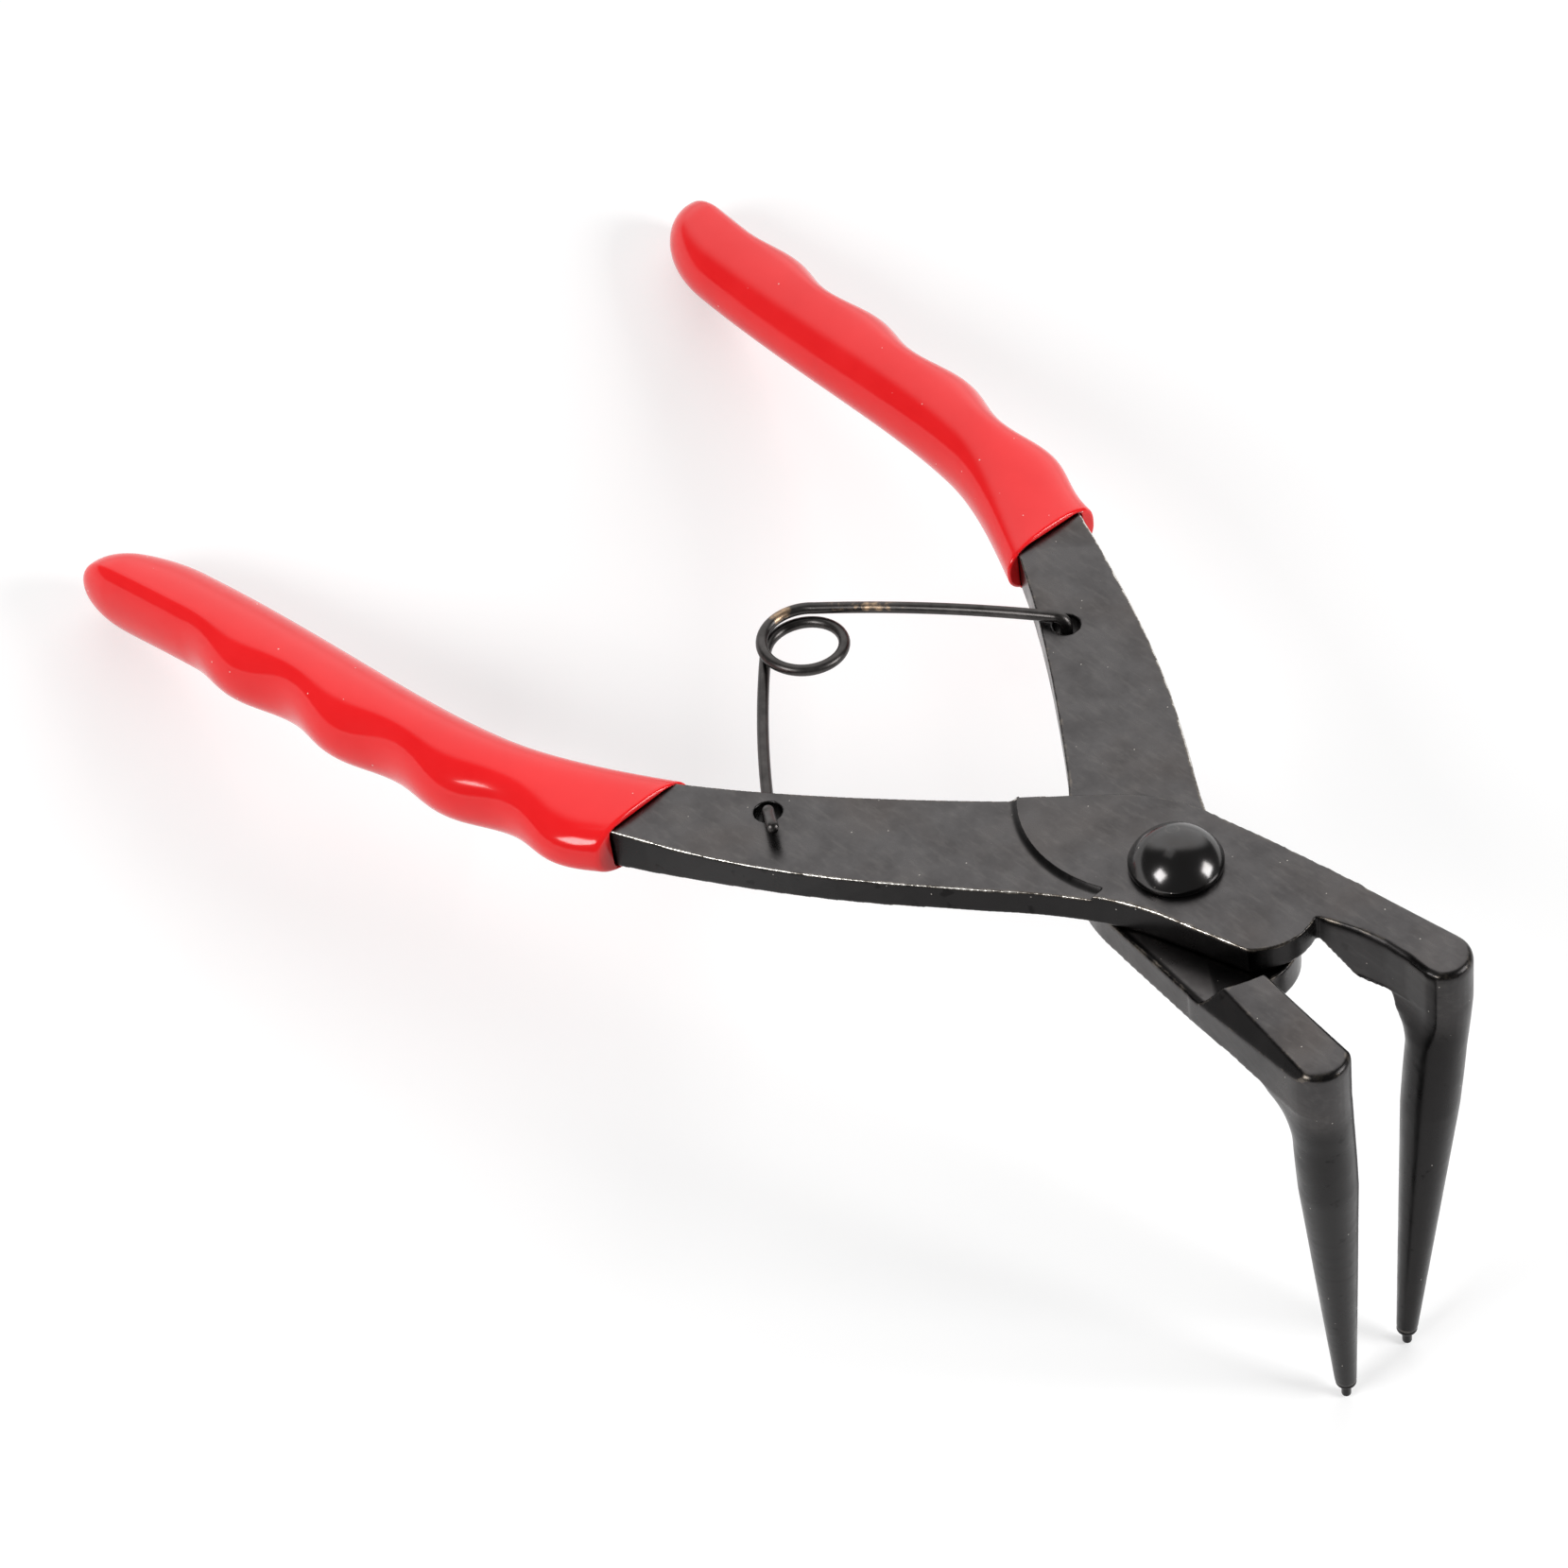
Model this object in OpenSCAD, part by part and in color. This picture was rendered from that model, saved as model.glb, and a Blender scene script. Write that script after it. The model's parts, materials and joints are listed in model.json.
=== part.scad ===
// Circlip pliers with long prongs bent down at a right angle.
// Two forged levers lap at a domed rivet, a wire spring holds them open,
// and each handle wears a soft slip-on grip.
// Lever frame: pivot on the Z axis, lapped faces at z = 0, jaws towards +X.
// The upper lever's handle lies on the -Y side and its jaw on the +Y side.
// The finished tool stands on its two pins and on a grip end.

/* [Levers] */
// Thickness of each lever at the lapped head
lever_t = 3.9; // [3.2:0.1:5]
// Thickness of the handle from the mouth of the grip on
handle_t = 6.2; // [4.5:0.1:6.5]
// Pivot to the place where the handle starts to thicken, along the tool
ramp_back = 26; // [24:0.5:32]
// Gap between the lapped faces of the two heads
lap_gap = 0.1; // [0.05:0.05:0.2]
// Rise of the boss round the pivot above the handle's face
boss_rise = 0.7; // [0.3:0.1:1.2]
// Radius of the step that ends the boss on the handle side
boss_r = 18; // [15:0.5:21]
// Angle at which the upper boss falls towards the jaw
boss_fall = 2.9; // [0:0.1:3.5]

/* [Handles] */
// Pivot to the end of the handle, along the tool
handle_back = 158; // [145:1:175]
// Middle line of the tool to the end of the handle, spring open
handle_out = 57; // [50:1:64]
// Pivot to the start of the handle's curve, along the tool
neck_back = 20; // [18:0.5:23]
// Middle line to the start of the handle's curve
neck_out = 12; // [10:0.5:14]
// Width of the neck behind the head
neck_w = 16; // [13:0.5:18]
// Width of the handle at the mouth of the grip
mouth_w = 11.8; // [10:0.2:13]
// Swell of the outer face's edge between the head and the mouth of the grip
face_swell = 0.3; // [0:0.1:1]
// Step in of the handle's outer side at the mouth of the grip
mouth_inset = 1.4; // [0.5:0.1:2]
// Width of the tang inside the grip
tang_w = 8.6; // [7:0.2:10]

/* [Jaws] */
// Pivot to the front of the jaws
jaw_front = 38.3; // [35:0.1:42]
// Distance of the jaw's inner wall from the line through the pivot
jaw_in = 2; // [1.7:0.1:2.6]
// Width of the jaw
jaw_w = 7.9; // [7:0.1:8.5]
// Height of the jaw's top above the lapped faces
jaw_top = 3; // [2.5:0.1:3.8]
// Depth of the jaw below the lapped faces
jaw_bottom = 4.1; // [3:0.1:5]
// Bevel round the top of the jaw
jaw_bevel = 1.1; // [0.5:0.1:1.5]
// Depth of the hollow in the upper jaw's inner wall
jaw_hollow = 1.2; // [0:0.1:1.6]
// Turn of the jaw away from the middle line, spring open
jaw_angle = 9; // [8:0.5:10]
// Width of the flat ground on the lower jaw's outer top edge, at the shoulder
facet_w = 2.4; // [2:0.1:5]
// Slope of that flat
facet_slope = 50; // [20:1:60]
// Radius swept by the rounded nose of each head
nose_reach = 19.2; // [18:0.1:20]
// Clearance between a nose and the shoulder of the other jaw
nose_gap = 0.3; // [0.2:0.05:0.6]

/* [Prongs] */
// Lapped faces down to the end of the pins
prong_drop = 68; // [50:1:80]
// Diameter of the prong where it leaves the jaw
prong_d = 7.6; // [6.5:0.1:8]
// Diameter of the prong just above its pin
prong_end_d = 2.8; // [2.4:0.1:3.6]
// Length of the taper
prong_taper = 44; // [30:1:46]
// Height of the hollow curve from the jaw's underside to the prong
fillet_h = 7.5; // [5:0.5:10]
// Reach of that curve along the jaw
fillet_l = 2.4; // [1.5:0.1:5]
// Depth of the flat ground into the prong's inner side
flat_cut = 0.35; // [0.1:0.05:0.8]
// Length of that flat below the jaw
flat_l = 7; // [4:0.5:10]
// Lean of the prong's end towards the middle line
prong_lean = 4.5; // [3:0.1:4.8]
// Lean of the prong's end towards the pivot
prong_rake = 2.6; // [0.5:0.1:3]
// Diameter of the pin that enters the circlip
pin_d = 1.3; // [1:0.1:2]
// Length of the pin
pin_l = 3; // [2:0.1:4]

/* [Rivet] */
// Diameter of the rivet's shank
rivet_d = 7; // [5:0.1:8]
// Radial clearance of the shank in the lower lever
rivet_play = 0.05; // [0.02:0.01:0.1]
// Diameter of the domed head
rivet_head_d = 11.8; // [10:0.1:14]
// Height of the plain rim of the domed head
rivet_rim = 1; // [0.5:0.1:1.5]
// Height of the dome above its rim
rivet_dome = 3.3; // [2:0.1:4]
// Diameter of the closed tail under the lower lever
rivet_tail_d = 10.8; // [9:0.1:13]
// Height of the plain rim of the tail
rivet_tail_rim = 0.4; // [0.2:0.1:0.8]
// Height of the tail's dome above its rim
rivet_tail = 1.6; // [1:0.1:2.5]

/* [Return spring] */
// Diameter of the spring wire
wire_d = 1.6; // [1.2:0.1:1.8]
// Diameter of the hole in each handle
spring_hole_d = 3.7; // [3.2:0.1:4.2]
// Pivot to the spring holes, along the tool
spring_hole_back = 44.5; // [42:0.5:48]
// Inner edge of the handle to the middle of the hole
spring_hole_edge = 3.5; // [2.9:0.1:4]
// How much nearer to the pivot the lower lever's hole lies
spring_hole_lead = 1.4; // [0:0.1:2]
// Pivot to the middle of the coil, along the tool
coil_back = 70; // [66:1:80]
// Mean radius of the coil where the leg of the lower lever joins it
coil_r_upper = 6.2; // [5.8:0.1:7]
// Mean radius of the coil where the leg of the upper lever joins it
coil_r_lower = 5.4; // [4.6:0.1:5.8]
// Middle line to the middle of the coil, towards the lower handle
coil_side = 0.8; // [0:0.1:1.5]
// Outward bow of each leg
leg_bow = 0.8; // [0:0.1:1.2]
// Length of the hooked end past its hole
hook_l = 6; // [4:0.1:7]
// Rise of the hooked end over its length
hook_rise = 1.6; // [0:0.1:2.5]

/* [Grips] */
// Pivot to the mouth of the grips, along the tool
mouth_back = 59; // [56:1:64]
// Wall of the grip beside the tang
grip_wall = 2.2; // [1.6:0.1:3]
// Narrowing of the grip's outer side from the mouth to the end
grip_slim = 1.8; // [0:0.1:2]
// Swell of the grip's inner side under the palm
grip_swell = 1.1; // [0:0.1:1.6]
// Cover of the grip over the tang at the mouth
mouth_cover = 1.2; // [1:0.1:2]
// Cover of the grip over the tang along the palm
palm_cover = 2.7; // [2.4:0.1:4.5]
// Slant of the mouth, inner side towards the pivot
mouth_slant = 24; // [0:1:28]
// Length over which the mouth swells to the palm
swell_l = 26; // [15:1:40]
// Height of the finger waves on the outer side
wave_h = 0.85; // [0.3:0.05:1.2]
// Distance from one finger wave to the next, along the tool
wave_pitch = 20.3; // [17:0.1:24]
// Pivot to the first crest, along the tool
wave_first = 69; // [60:0.5:80]
// Finger waves on each grip
wave_count = 4; // [3:1:4]
// Length of the rounded end, past the end of the tang
end_round = 10; // [7:0.5:14]
// Clearance between the tang and the grip
grip_fit = 0.1; // [0.05:0.01:0.2]

/* [Hidden] */
$fn = 64;

steel_black = "#3a3836";
grip_red = "#e82226";

function unit(v) = v / norm(v);
function lerp(a, b, t) = a + (b - a) * t;
function clamp(t) = max(0, min(1, t));
function ease(t) = let (c = clamp(t)) c * c * (3 - 2 * c);
function turn(p, a) = [p[0] * cos(a) - p[1] * sin(a), p[0] * sin(a) + p[1] * cos(a)];
function arc(c, r, a0, a1, steps) =
    [for (i = [0:steps]) c + r * [cos(lerp(a0, a1, i / steps)), sin(lerp(a0, a1, i / steps))]];
function bend(a, b, c, steps) =
    [for (i = [0:steps]) let (t = i / steps) lerp(lerp(a, b, t), lerp(b, c, t), t)];
// One side of a superellipse: round for power 2, boxy for a higher power.
function square_off(c, power) = sign(c) * pow(abs(c), 2 / power);

// The handle's middle line is one cubic curve from the neck to the end.
neck = [-neck_back, -neck_out];
handle_end = [-handle_back, -handle_out];
neck_lead = [-58, -45];
end_lead = [70, 13];
neck_pull = neck + neck_lead;
end_pull = handle_end + end_lead;
function spine(t) =
    pow(1 - t, 3) * neck + 3 * t * pow(1 - t, 2) * neck_pull
    + 3 * t * t * (1 - t) * end_pull + pow(t, 3) * handle_end;
function heading(t) = unit(
    pow(1 - t, 2) * (neck_pull - neck) + 2 * t * (1 - t) * (end_pull - neck_pull)
    + t * t * (handle_end - end_pull));
function outward(t) = let (h = heading(t)) [-h[1], h[0]];
// The place on the curve at a given distance behind the pivot, by halving.
function spine_at(back, low = 0, high = 1, tries = 24) =
    let (mid = (low + high) / 2)
    tries == 0 ? mid
    : -spine(mid)[0] < back ? spine_at(back, mid, high, tries - 1)
    : spine_at(back, low, mid, tries - 1);
t_mouth = spine_at(mouth_back);
t_tang = spine_at(handle_back - end_round);
// Share of the curve over which the handle narrows inside the grip.
tang_share = 0.2;
function half_w(t) = t < t_mouth
    ? lerp(neck_w, mouth_w, t / t_mouth) / 2
    : lerp(mouth_w, tang_w, ease((t - t_mouth) / tang_share)) / 2;
function edge(t, side, extra = 0) = spine(t) + side * (half_w(t) + extra) * outward(t);

// Behind the lap the handle thickens towards the mouth. Its outer side leans: the
// outer face swells before it steps in, and the lapped face steps in early.
lap_early = 0.9;
function ramp(back) = clamp((back - ramp_back) / (mouth_back - ramp_back));
function under(back) = lap_gap / 2 - (handle_t - lever_t) * ramp(back);
function along_grip(back) = clamp((back - mouth_back) / (handle_back - mouth_back));
function face_edge(t) =
    let (back = -spine(t)[0], u = ramp(back))
    edge(t, 1, 4 * face_swell * u * (1 - u) - mouth_inset * u * u - grip_slim * along_grip(back));
function lap_edge(t, extra = 0) =
    let (back = -spine(t)[0])
    edge(t, 1, extra - mouth_inset * ease(ramp(back) / lap_early) - grip_slim * along_grip(back));

// Head outline. The back of the head is an arc that meets the jaw's outer wall.
jaw_out = jaw_in + jaw_w;
jaw_narrowing = 0.3;
jaw_tip_out = jaw_out - jaw_narrowing;
jaw_buried = 15;
bevel_lean = 1.5;
facet_lead = 2;
facet_turn = atan2(facet_w - jaw_bevel, jaw_front - nose_reach);
tip_round = 0.45;
taper_steps = 10;
front_points = 14;
back_points = 16;
wall_share = 0.375;
head_arc_r = 22;
head_arc_back = 1.7;
head_arc_c = turn([-head_arc_back, jaw_out - head_arc_r], jaw_angle);
head_back = edge(0, -1) - head_arc_c;
head_arc_start = atan2(head_back[1], head_back[0]) - acos(head_arc_r / norm(head_back));
// The nose is an arc whose furthest point sweeps nose_reach round the pivot.
nose_r = 8.55;
nose_turn = 9.7;
nose_c = (nose_reach - nose_r) * [cos(nose_turn), sin(nose_turn)];
nose_room = nose_reach + nose_gap;
nose_corner = -48;
nose_notch = 22;
// The flank runs from the nose's corner to the outer edge of the neck.
flank_start = nose_c + nose_r * [cos(nose_corner), sin(nose_corner)];
flank_end = edge(0, 1);
flank_slope = 14.3;
flank_l = 21;
flank_straight = 0.6;
flank_mid = flank_start - flank_l * [cos(flank_slope), sin(flank_slope)];
// The plate's jaw root stays inside the jaw that covers it.
root_front = 21;
root_inset = 1.2;
root_skin = 0.1;
function head_outline() = concat(
    bend(flank_end, flank_mid, lerp(flank_start, flank_mid, flank_straight), 8),
    arc(nose_c, nose_r, nose_corner, nose_notch, 14),
    [turn([root_front, jaw_in + root_inset], jaw_angle)],
    [turn([root_front, jaw_out - root_skin], jaw_angle)],
    arc(head_arc_c, head_arc_r, 90 + jaw_angle, head_arc_start, 10));
// The whole lever: outer edge from the tang, round the head, inner edge to the tang.
blank_steps = 30;
function blank_t(i) = t_tang * i / blank_steps;
function blank_outline(lapped) = concat(
    [for (i = [blank_steps:-1:1]) lapped ? lap_edge(blank_t(i)) : face_edge(blank_t(i))],
    head_outline(),
    [for (i = [0:blank_steps]) edge(blank_t(i), -1)]);
head_points = len(head_outline());
function blank_under() = concat(
    [for (i = [blank_steps:-1:1]) under(-spine(blank_t(i))[0])],
    [for (i = [1:head_points]) lap_gap / 2],
    [for (i = [0:blank_steps]) under(-spine(blank_t(i))[0])]);

// The jaw and its prong are one loft of level rings, in the jaw's own frame.
// A ring holds its height, the x of its back, middle and front, the y of its
// inner and outer side, how boxy its back half is, the y of its inner flat, and
// its inset by the bevel. Its front half is half an ellipse round the prong's axis.
shoulder_z = pin_l - prong_drop;
taper_z = shoulder_z + prong_taper;
prong_x = jaw_front - prong_d / 2;
prong_y = jaw_in + prong_d / 2 - flat_cut;
function prong_ring(z) =
    let (
        down = clamp((taper_z - z) / prong_taper),
        r = lerp(prong_d, prong_end_d, down) / 2,
        swing = clamp((-jaw_bottom - z) / (-jaw_bottom - shoulder_z)),
        x = prong_x - prong_rake * swing,
        y = prong_y - prong_lean * swing)
    [z, x - r, x, x + r, y - r, y + r, 0, y - r, 0];
function shrink(ring, by, z) =
    [z, ring[1] + by, ring[2], ring[3] - by, ring[4] + by, ring[5] - by, ring[6], ring[7] + by, 0];
function jaw_ring(z, inset) =
    [z, jaw_buried, prong_x, jaw_front, jaw_in - flat_cut, jaw_tip_out, 1, jaw_in, inset];
// Below the jaw the back closes on the prong in a hollow curve, and the inner
// flat runs out over a longer way.
function fillet_ring(depth) =
    let (
        p = prong_ring(-jaw_bottom - depth),
        k = sqrt(clamp(depth / fillet_h)))
    [p[0], lerp(p[1] - fillet_l, p[1], k), p[2], lerp(jaw_front, p[3], k), p[4],
     lerp(jaw_tip_out, p[5], k), 1 - ease(depth / fillet_h), lerp(jaw_in, p[4], ease(depth / flat_l)), 0];
function jaw_rings() = concat(
    [for (a = [0:30:90]) jaw_ring(jaw_top - jaw_bevel * (1 - cos(a)), jaw_bevel * (1 - sin(a)))],
    [jaw_ring(0, 0), jaw_ring(-jaw_bottom, 0)],
    [for (k = [0.02, 0.08, 0.18, 0.32, 0.52, 0.75, 1]) fillet_ring(k * fillet_h)],
    [for (k = [1:taper_steps])
        prong_ring(lerp(-jaw_bottom - fillet_h, shoulder_z + tip_round, k / taper_steps))],
    [shrink(prong_ring(shoulder_z), tip_round / 3, shoulder_z + tip_round / 3),
     shrink(prong_ring(shoulder_z), tip_round, shoulder_z)]);
// A ring's outline: half an ellipse in front, then the outer wall, the back and
// the inner wall, which close to half an ellipse as the ring gets less boxy.
function boxed(u) =
    u < wall_share ? [u / wall_share, 1]
    : u < 1 - wall_share ? [1, 1 - 2 * (u - wall_share) / (1 - 2 * wall_share)]
    : [(1 - u) / wall_share, -1];
function ring_shape(ring, i) =
    i < front_points
    ? let (a = lerp(-90, 90, i / front_points)) [cos(a), sin(a)]
    : let (u = (i - front_points) / back_points, box = boxed(u), a = 90 + 180 * u)
      [-lerp(-cos(a), box[0], ring[6]), lerp(sin(a), box[1], ring[6])];
// Behind the prong the outer wall widens to the head, the inner wall may be hollow
// and the bevel fades. The upper jaw's top follows the falling face of the boss.
function jaw_point(ring, i, fall, hollow) =
    let (
        s = ring_shape(ring, i),
        x = ring[2] + s[0] * (s[0] > 0 ? ring[3] - ring[8] - ring[2] : ring[2] - ring[1]),
        behind = clamp((prong_x - x) / (prong_x - jaw_buried)),
        middle = clamp((prong_x - x) / (prong_x - nose_reach)),
        inset = ring[8] * (1 - behind),
        wide = lerp(ring[4] + inset, ring[5] - inset, (s[1] + 1) / 2),
        y = max(wide, ring[7] + bevel_lean * inset),
        spread = (jaw_out - jaw_tip_out) * behind * max(0, s[1]),
        dent = hollow * ring[6] * 4 * middle * (1 - middle) * max(0, -s[1]),
        lift = ring[0] > 0 ? tan(fall) * (jaw_front - x) : 0)
    concat(turn([x, y + spread + dent], jaw_angle), [ring[0] + lift]);
ring_points = front_points + back_points;
function pin_top() = let (p = prong_ring(shoulder_z))
    concat(turn([p[2], (p[4] + p[5]) / 2], jaw_angle), [shoulder_z]);

// A closed skin over a stack of rings that all have the same number of points. Each
// end fans out from the middle of a round side, so that no triangle is flat.
module loft(rings) {
    n = len(rings[0]);
    hub = floor(n / 4);
    last = len(rings) - 1;
    walls = [for (k = [0:last - 1], i = [0:n - 1])
        let (j = (i + 1) % n)
        each [[k * n + i, k * n + j, k * n + n + i], [k * n + j, k * n + n + j, k * n + n + i]]];
    ends = [
        [for (i = [0:n - 1]) (n + hub - i) % n],
        [for (i = [0:n - 1]) last * n + (hub + i) % n],
    ];
    polyhedron([for (ring = rings) each ring], concat(walls, ends));
}

// Blank of the upper lever: a flat outer face, leaning walls and an underside that
// is level below the head and drops behind it. The head's faces fan out from the
// pivot, and the handle's run in strips from its outer to its inner edge.
module lever_blank() {
    face = blank_outline(false);
    lap = blank_outline(true);
    drop = blank_under();
    n = len(face);
    points = concat(
        [for (p = face) [p[0], p[1], lever_t]],
        [for (i = [0:n - 1]) [lap[i][0], lap[i][1], drop[i]]],
        [[0, 0, lever_t], [0, 0, lap_gap / 2]]);
    walls = [for (i = [0:n - 1])
        let (j = (i + 1) % n)
        each [[i, j, n + i], [j, n + j, n + i]]];
    outer = blank_steps;
    inner = outer + head_points;
    strips = [for (i = [0:blank_steps - 1])
        let (o = outer - i, p = inner + i)
        each [[o, p + 1, p], [o, o - 1, p + 1], [n + o, n + p, n + p + 1], [n + o, n + p + 1, n + o - 1]]];
    fans = [for (i = [outer:inner])
        let (j = i == inner ? outer : i + 1)
        each [[2 * n, j, i], [2 * n + 1, n + i, n + j]]];
    polyhedron(points, concat(walls, strips, fans));
}

// The boss covers the head and ends at a round step on the handle.
boss_back = 10.5;
boss_out = 10;
boss_flat = 4;
module boss_plate(low, high) {
    translate([0, 0, low])
        linear_extrude(high - low)
            intersection() {
                polygon(blank_outline(false));
                union() {
                    translate([-boss_back, boss_r - boss_out]) circle(boss_r);
                    translate([-boss_flat, -2 * boss_r]) square([2 * jaw_front, 4 * boss_r]);
                }
            }
}

module jaw_and_prong(fall, hollow) {
    loft([for (ring = jaw_rings()) [for (i = [0:ring_points - 1]) jaw_point(ring, i, fall, hollow)]]);
    translate(pin_top() - [0, 0, pin_l - pin_d / 2]) {
        cylinder(h = pin_l, d = pin_d);
        sphere(d = pin_d);
    }
}

// Flat ground on the lower jaw's outer top edge, widest at the shoulder.
module jaw_facet() {
    rotate([0, 0, jaw_angle])
        translate([nose_reach, jaw_out - facet_w, jaw_top])
            rotate([0, 0, facet_turn])
                rotate([-facet_slope, 0, 0])
                    translate([-facet_lead, 0, 0])
                        cube([jaw_front, jaw_w, jaw_w]);
}

function hole_at(back) = edge(spine_at(back), -1, -spring_hole_edge);
module spring_hole(p) {
    translate([p[0], p[1], 0])
        cylinder(h = 4 * handle_t, d = spring_hole_d, center = true);
}

upper_hole = hole_at(spring_hole_back);
lower_hole = hole_at(spring_hole_back - spring_hole_lead);
module upper_lever() {
    color(steel_black)
        stand()
            difference() {
                union() {
                    lever_blank();
                    boss_plate(lever_t / 2, lever_t + boss_rise);
                    jaw_and_prong(boss_fall, jaw_hollow);
                }
                // Room for the nose of the lower lever, under a sloping shoulder.
                translate([0, 0, lap_gap / 2 - 2 * lever_t])
                    cylinder(h = 2 * lever_t, r1 = nose_room + 2 * lever_t, r2 = nose_room);
                // Falling face of the boss.
                translate([boss_flat, -2 * boss_r, lever_t + boss_rise])
                    rotate([0, boss_fall, 0])
                        cube([2 * jaw_front, 4 * boss_r, 2 * lever_t]);
                cylinder(h = 8 * lever_t, d = rivet_d, center = true);
                spring_hole(upper_hole);
            }
}

module lower_lever() {
    color(steel_black)
        stand()
            mirror([0, 1, 0])
                difference() {
                    union() {
                        mirror([0, 0, 1]) lever_blank();
                        boss_plate(-lever_t - boss_rise, -lever_t / 2);
                        difference() {
                            jaw_and_prong(0, 0);
                            // Room for the nose of the upper lever, down into the blank.
                            translate([0, 0, -lap_gap])
                                cylinder(h = 2 * lever_t, r1 = nose_room, r2 = nose_room + lever_t / 2);
                            jaw_facet();
                        }
                    }
                    cylinder(h = 8 * lever_t, d = rivet_d + 2 * rivet_play, center = true);
                    spring_hole(lower_hole);
                }
}

// A plain rim under a spherical dome.
module domed(d, rim, dome) {
    r = (d * d / 4 + dome * dome) / (2 * dome);
    intersection() {
        translate([0, 0, rim + dome - r]) sphere(r);
        cylinder(h = rim + dome, d = d);
    }
}

module pivot_rivet() {
    face = lever_t + boss_rise;
    color(steel_black)
        stand()
            union() {
                translate([0, 0, face]) domed(rivet_head_d, rivet_rim, rivet_dome);
                translate([0, 0, -face - rivet_play])
                    cylinder(h = 2 * face + rivet_play, d = rivet_d);
                translate([0, 0, -face - rivet_play])
                    mirror([0, 0, 1])
                        domed(rivet_tail_d, rivet_tail_rim, rivet_tail);
            }
}

// Spring: hook under the lower lever, leg, coil, leg, hook over the upper lever.
// A leg passes just under the thickened handle, and a hook lies just over it.
hook_z = lap_gap + wire_d / 2;
leg_z = hook_z - under(spring_hole_back + spring_hole_d);
coil_turns = 2;
coil_drop = 1.45 * wire_d;
coil_c = [-coil_back, coil_side];
function tangent_angle(p, r, side) =
    let (v = p - coil_c) atan2(v[1], v[0]) + side * acos(r / norm(v));
coil_start = tangent_angle([lower_hole[0], -lower_hole[1]], coil_r_upper, 1);
coil_end = tangent_angle(upper_hole, coil_r_lower, -1) + 360 * coil_turns;
hook_turn = -33;
hook_way = [cos(hook_turn), sin(hook_turn)];
hook_bend = 0.9 * wire_d;
coil_settle = 2.6;
function coil_point(k) =
    let (a = lerp(coil_start, coil_end, k), r = lerp(coil_r_upper, coil_r_lower, ease(coil_settle * k)))
    [coil_c[0] + r * cos(a), coil_c[1] + r * sin(a), coil_drop * (0.5 - k)];
// Leg from the coil into the hole of the upper lever and over its face.
// The other leg is the same one turned over.
function leg(from, hole) =
    let (
        to = [hole[0], hole[1], -leg_z],
        way = unit([to[0] - from[0], to[1] - from[1], 0]),
        aside = [way[1], -way[0], 0],
        out = [hook_way[0], hook_way[1], 0],
        top = lever_t + hook_z)
    concat(
        [for (k = [0.125:0.125:0.875])
            lerp(from, to - hook_bend * way, k) + 4 * leg_bow * k * (1 - k) * aside],
        [for (a = [0:30:90]) to - hook_bend * (1 - sin(a)) * way + [0, 0, hook_bend * (1 - cos(a))]],
        [for (a = [0:30:90])
            [to[0], to[1], top - hook_bend] + hook_bend * ((1 - cos(a)) * out + [0, 0, sin(a)])],
        [for (k = [0.5, 1]) [to[0], to[1], top + hook_rise * k] + lerp(hook_bend, hook_l, k) * out]);
function turn_over(path) = [for (i = [len(path) - 1:-1:0]) [path[i][0], -path[i][1], -path[i][2]]];
coil_steps = 40;
function mirror_end(p) = [p[0], -p[1], -p[2]];
spring_path = concat(
    turn_over(leg(mirror_end(coil_point(0)), lower_hole)),
    [for (i = [0:coil_steps]) coil_point(i / coil_steps)],
    leg(coil_point(1), upper_hole));

// Carries one side direction along the wire without twist.
function carry(ways, i = 0, side = [1, 0, 0.1]) =
    i == len(ways) ? []
    : let (s = unit(side - (side * ways[i]) * ways[i])) concat([s], carry(ways, i + 1, s));
module wire(path, d, sides) {
    last = len(path) - 1;
    ways = [for (i = [0:last]) unit(path[min(i + 1, last)] - path[max(i - 1, 0)])];
    across = carry(ways);
    loft([for (i = [0:last])
        let (s = across[i], u = cross(ways[i], s))
        [for (k = [0:sides - 1])
            path[i] + d / 2 * (cos(360 * k / sides) * s - sin(360 * k / sides) * u)]]);
}

module return_spring() {
    color(steel_black)
        stand()
            wire(spring_path, wire_d, 10);
}

// Grip: rings along the handle's curve, wavy on the outer side.
grip_points = 24;
grip_rings = 52;
grip_power = 2.6;
mouth_lip = 0.5;
lip_share = 0.3;
least_round = 0.02;
swell_peak = 6.75;
wave_end = wave_first + (wave_count - 0.5) * wave_pitch;
function grip_wave(back) =
    back > wave_end ? -wave_h : wave_h * cos(360 * (back - wave_first) / wave_pitch);
function grip_ring(t, shrink_by) =
    let (
        c = spine(t),
        n = outward(t),
        back = -c[0],
        cap_in = clamp((back - (handle_back - end_round)) / end_round),
        round_off = max(least_round, sqrt(1 - cap_in * cap_in)),
        w = (half_w(t) + grip_wall - shrink_by) * round_off,
        swell = ease((back - mouth_back) / swell_l),
        h = (handle_t / 2 + lerp(mouth_cover, palm_cover, swell) - shrink_by) * round_off,
        v = along_grip(back),
        outer = grip_wave(back) - mouth_inset / 2 - grip_slim * v,
        inner = grip_swell * swell_peak * v * v * (1 - v),
        lag = tan(mouth_slant) * (1 - swell))
    [for (i = [0:grip_points - 1])
        let (
            a = 360 * i / grip_points,
            across = square_off(cos(a), grip_power) * (w + round_off * (cos(a) > 0 ? outer : inner)),
            p = c + across * (n + lag * heading(t)))
        [p[0], p[1], square_off(sin(a), grip_power) * h]];
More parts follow.
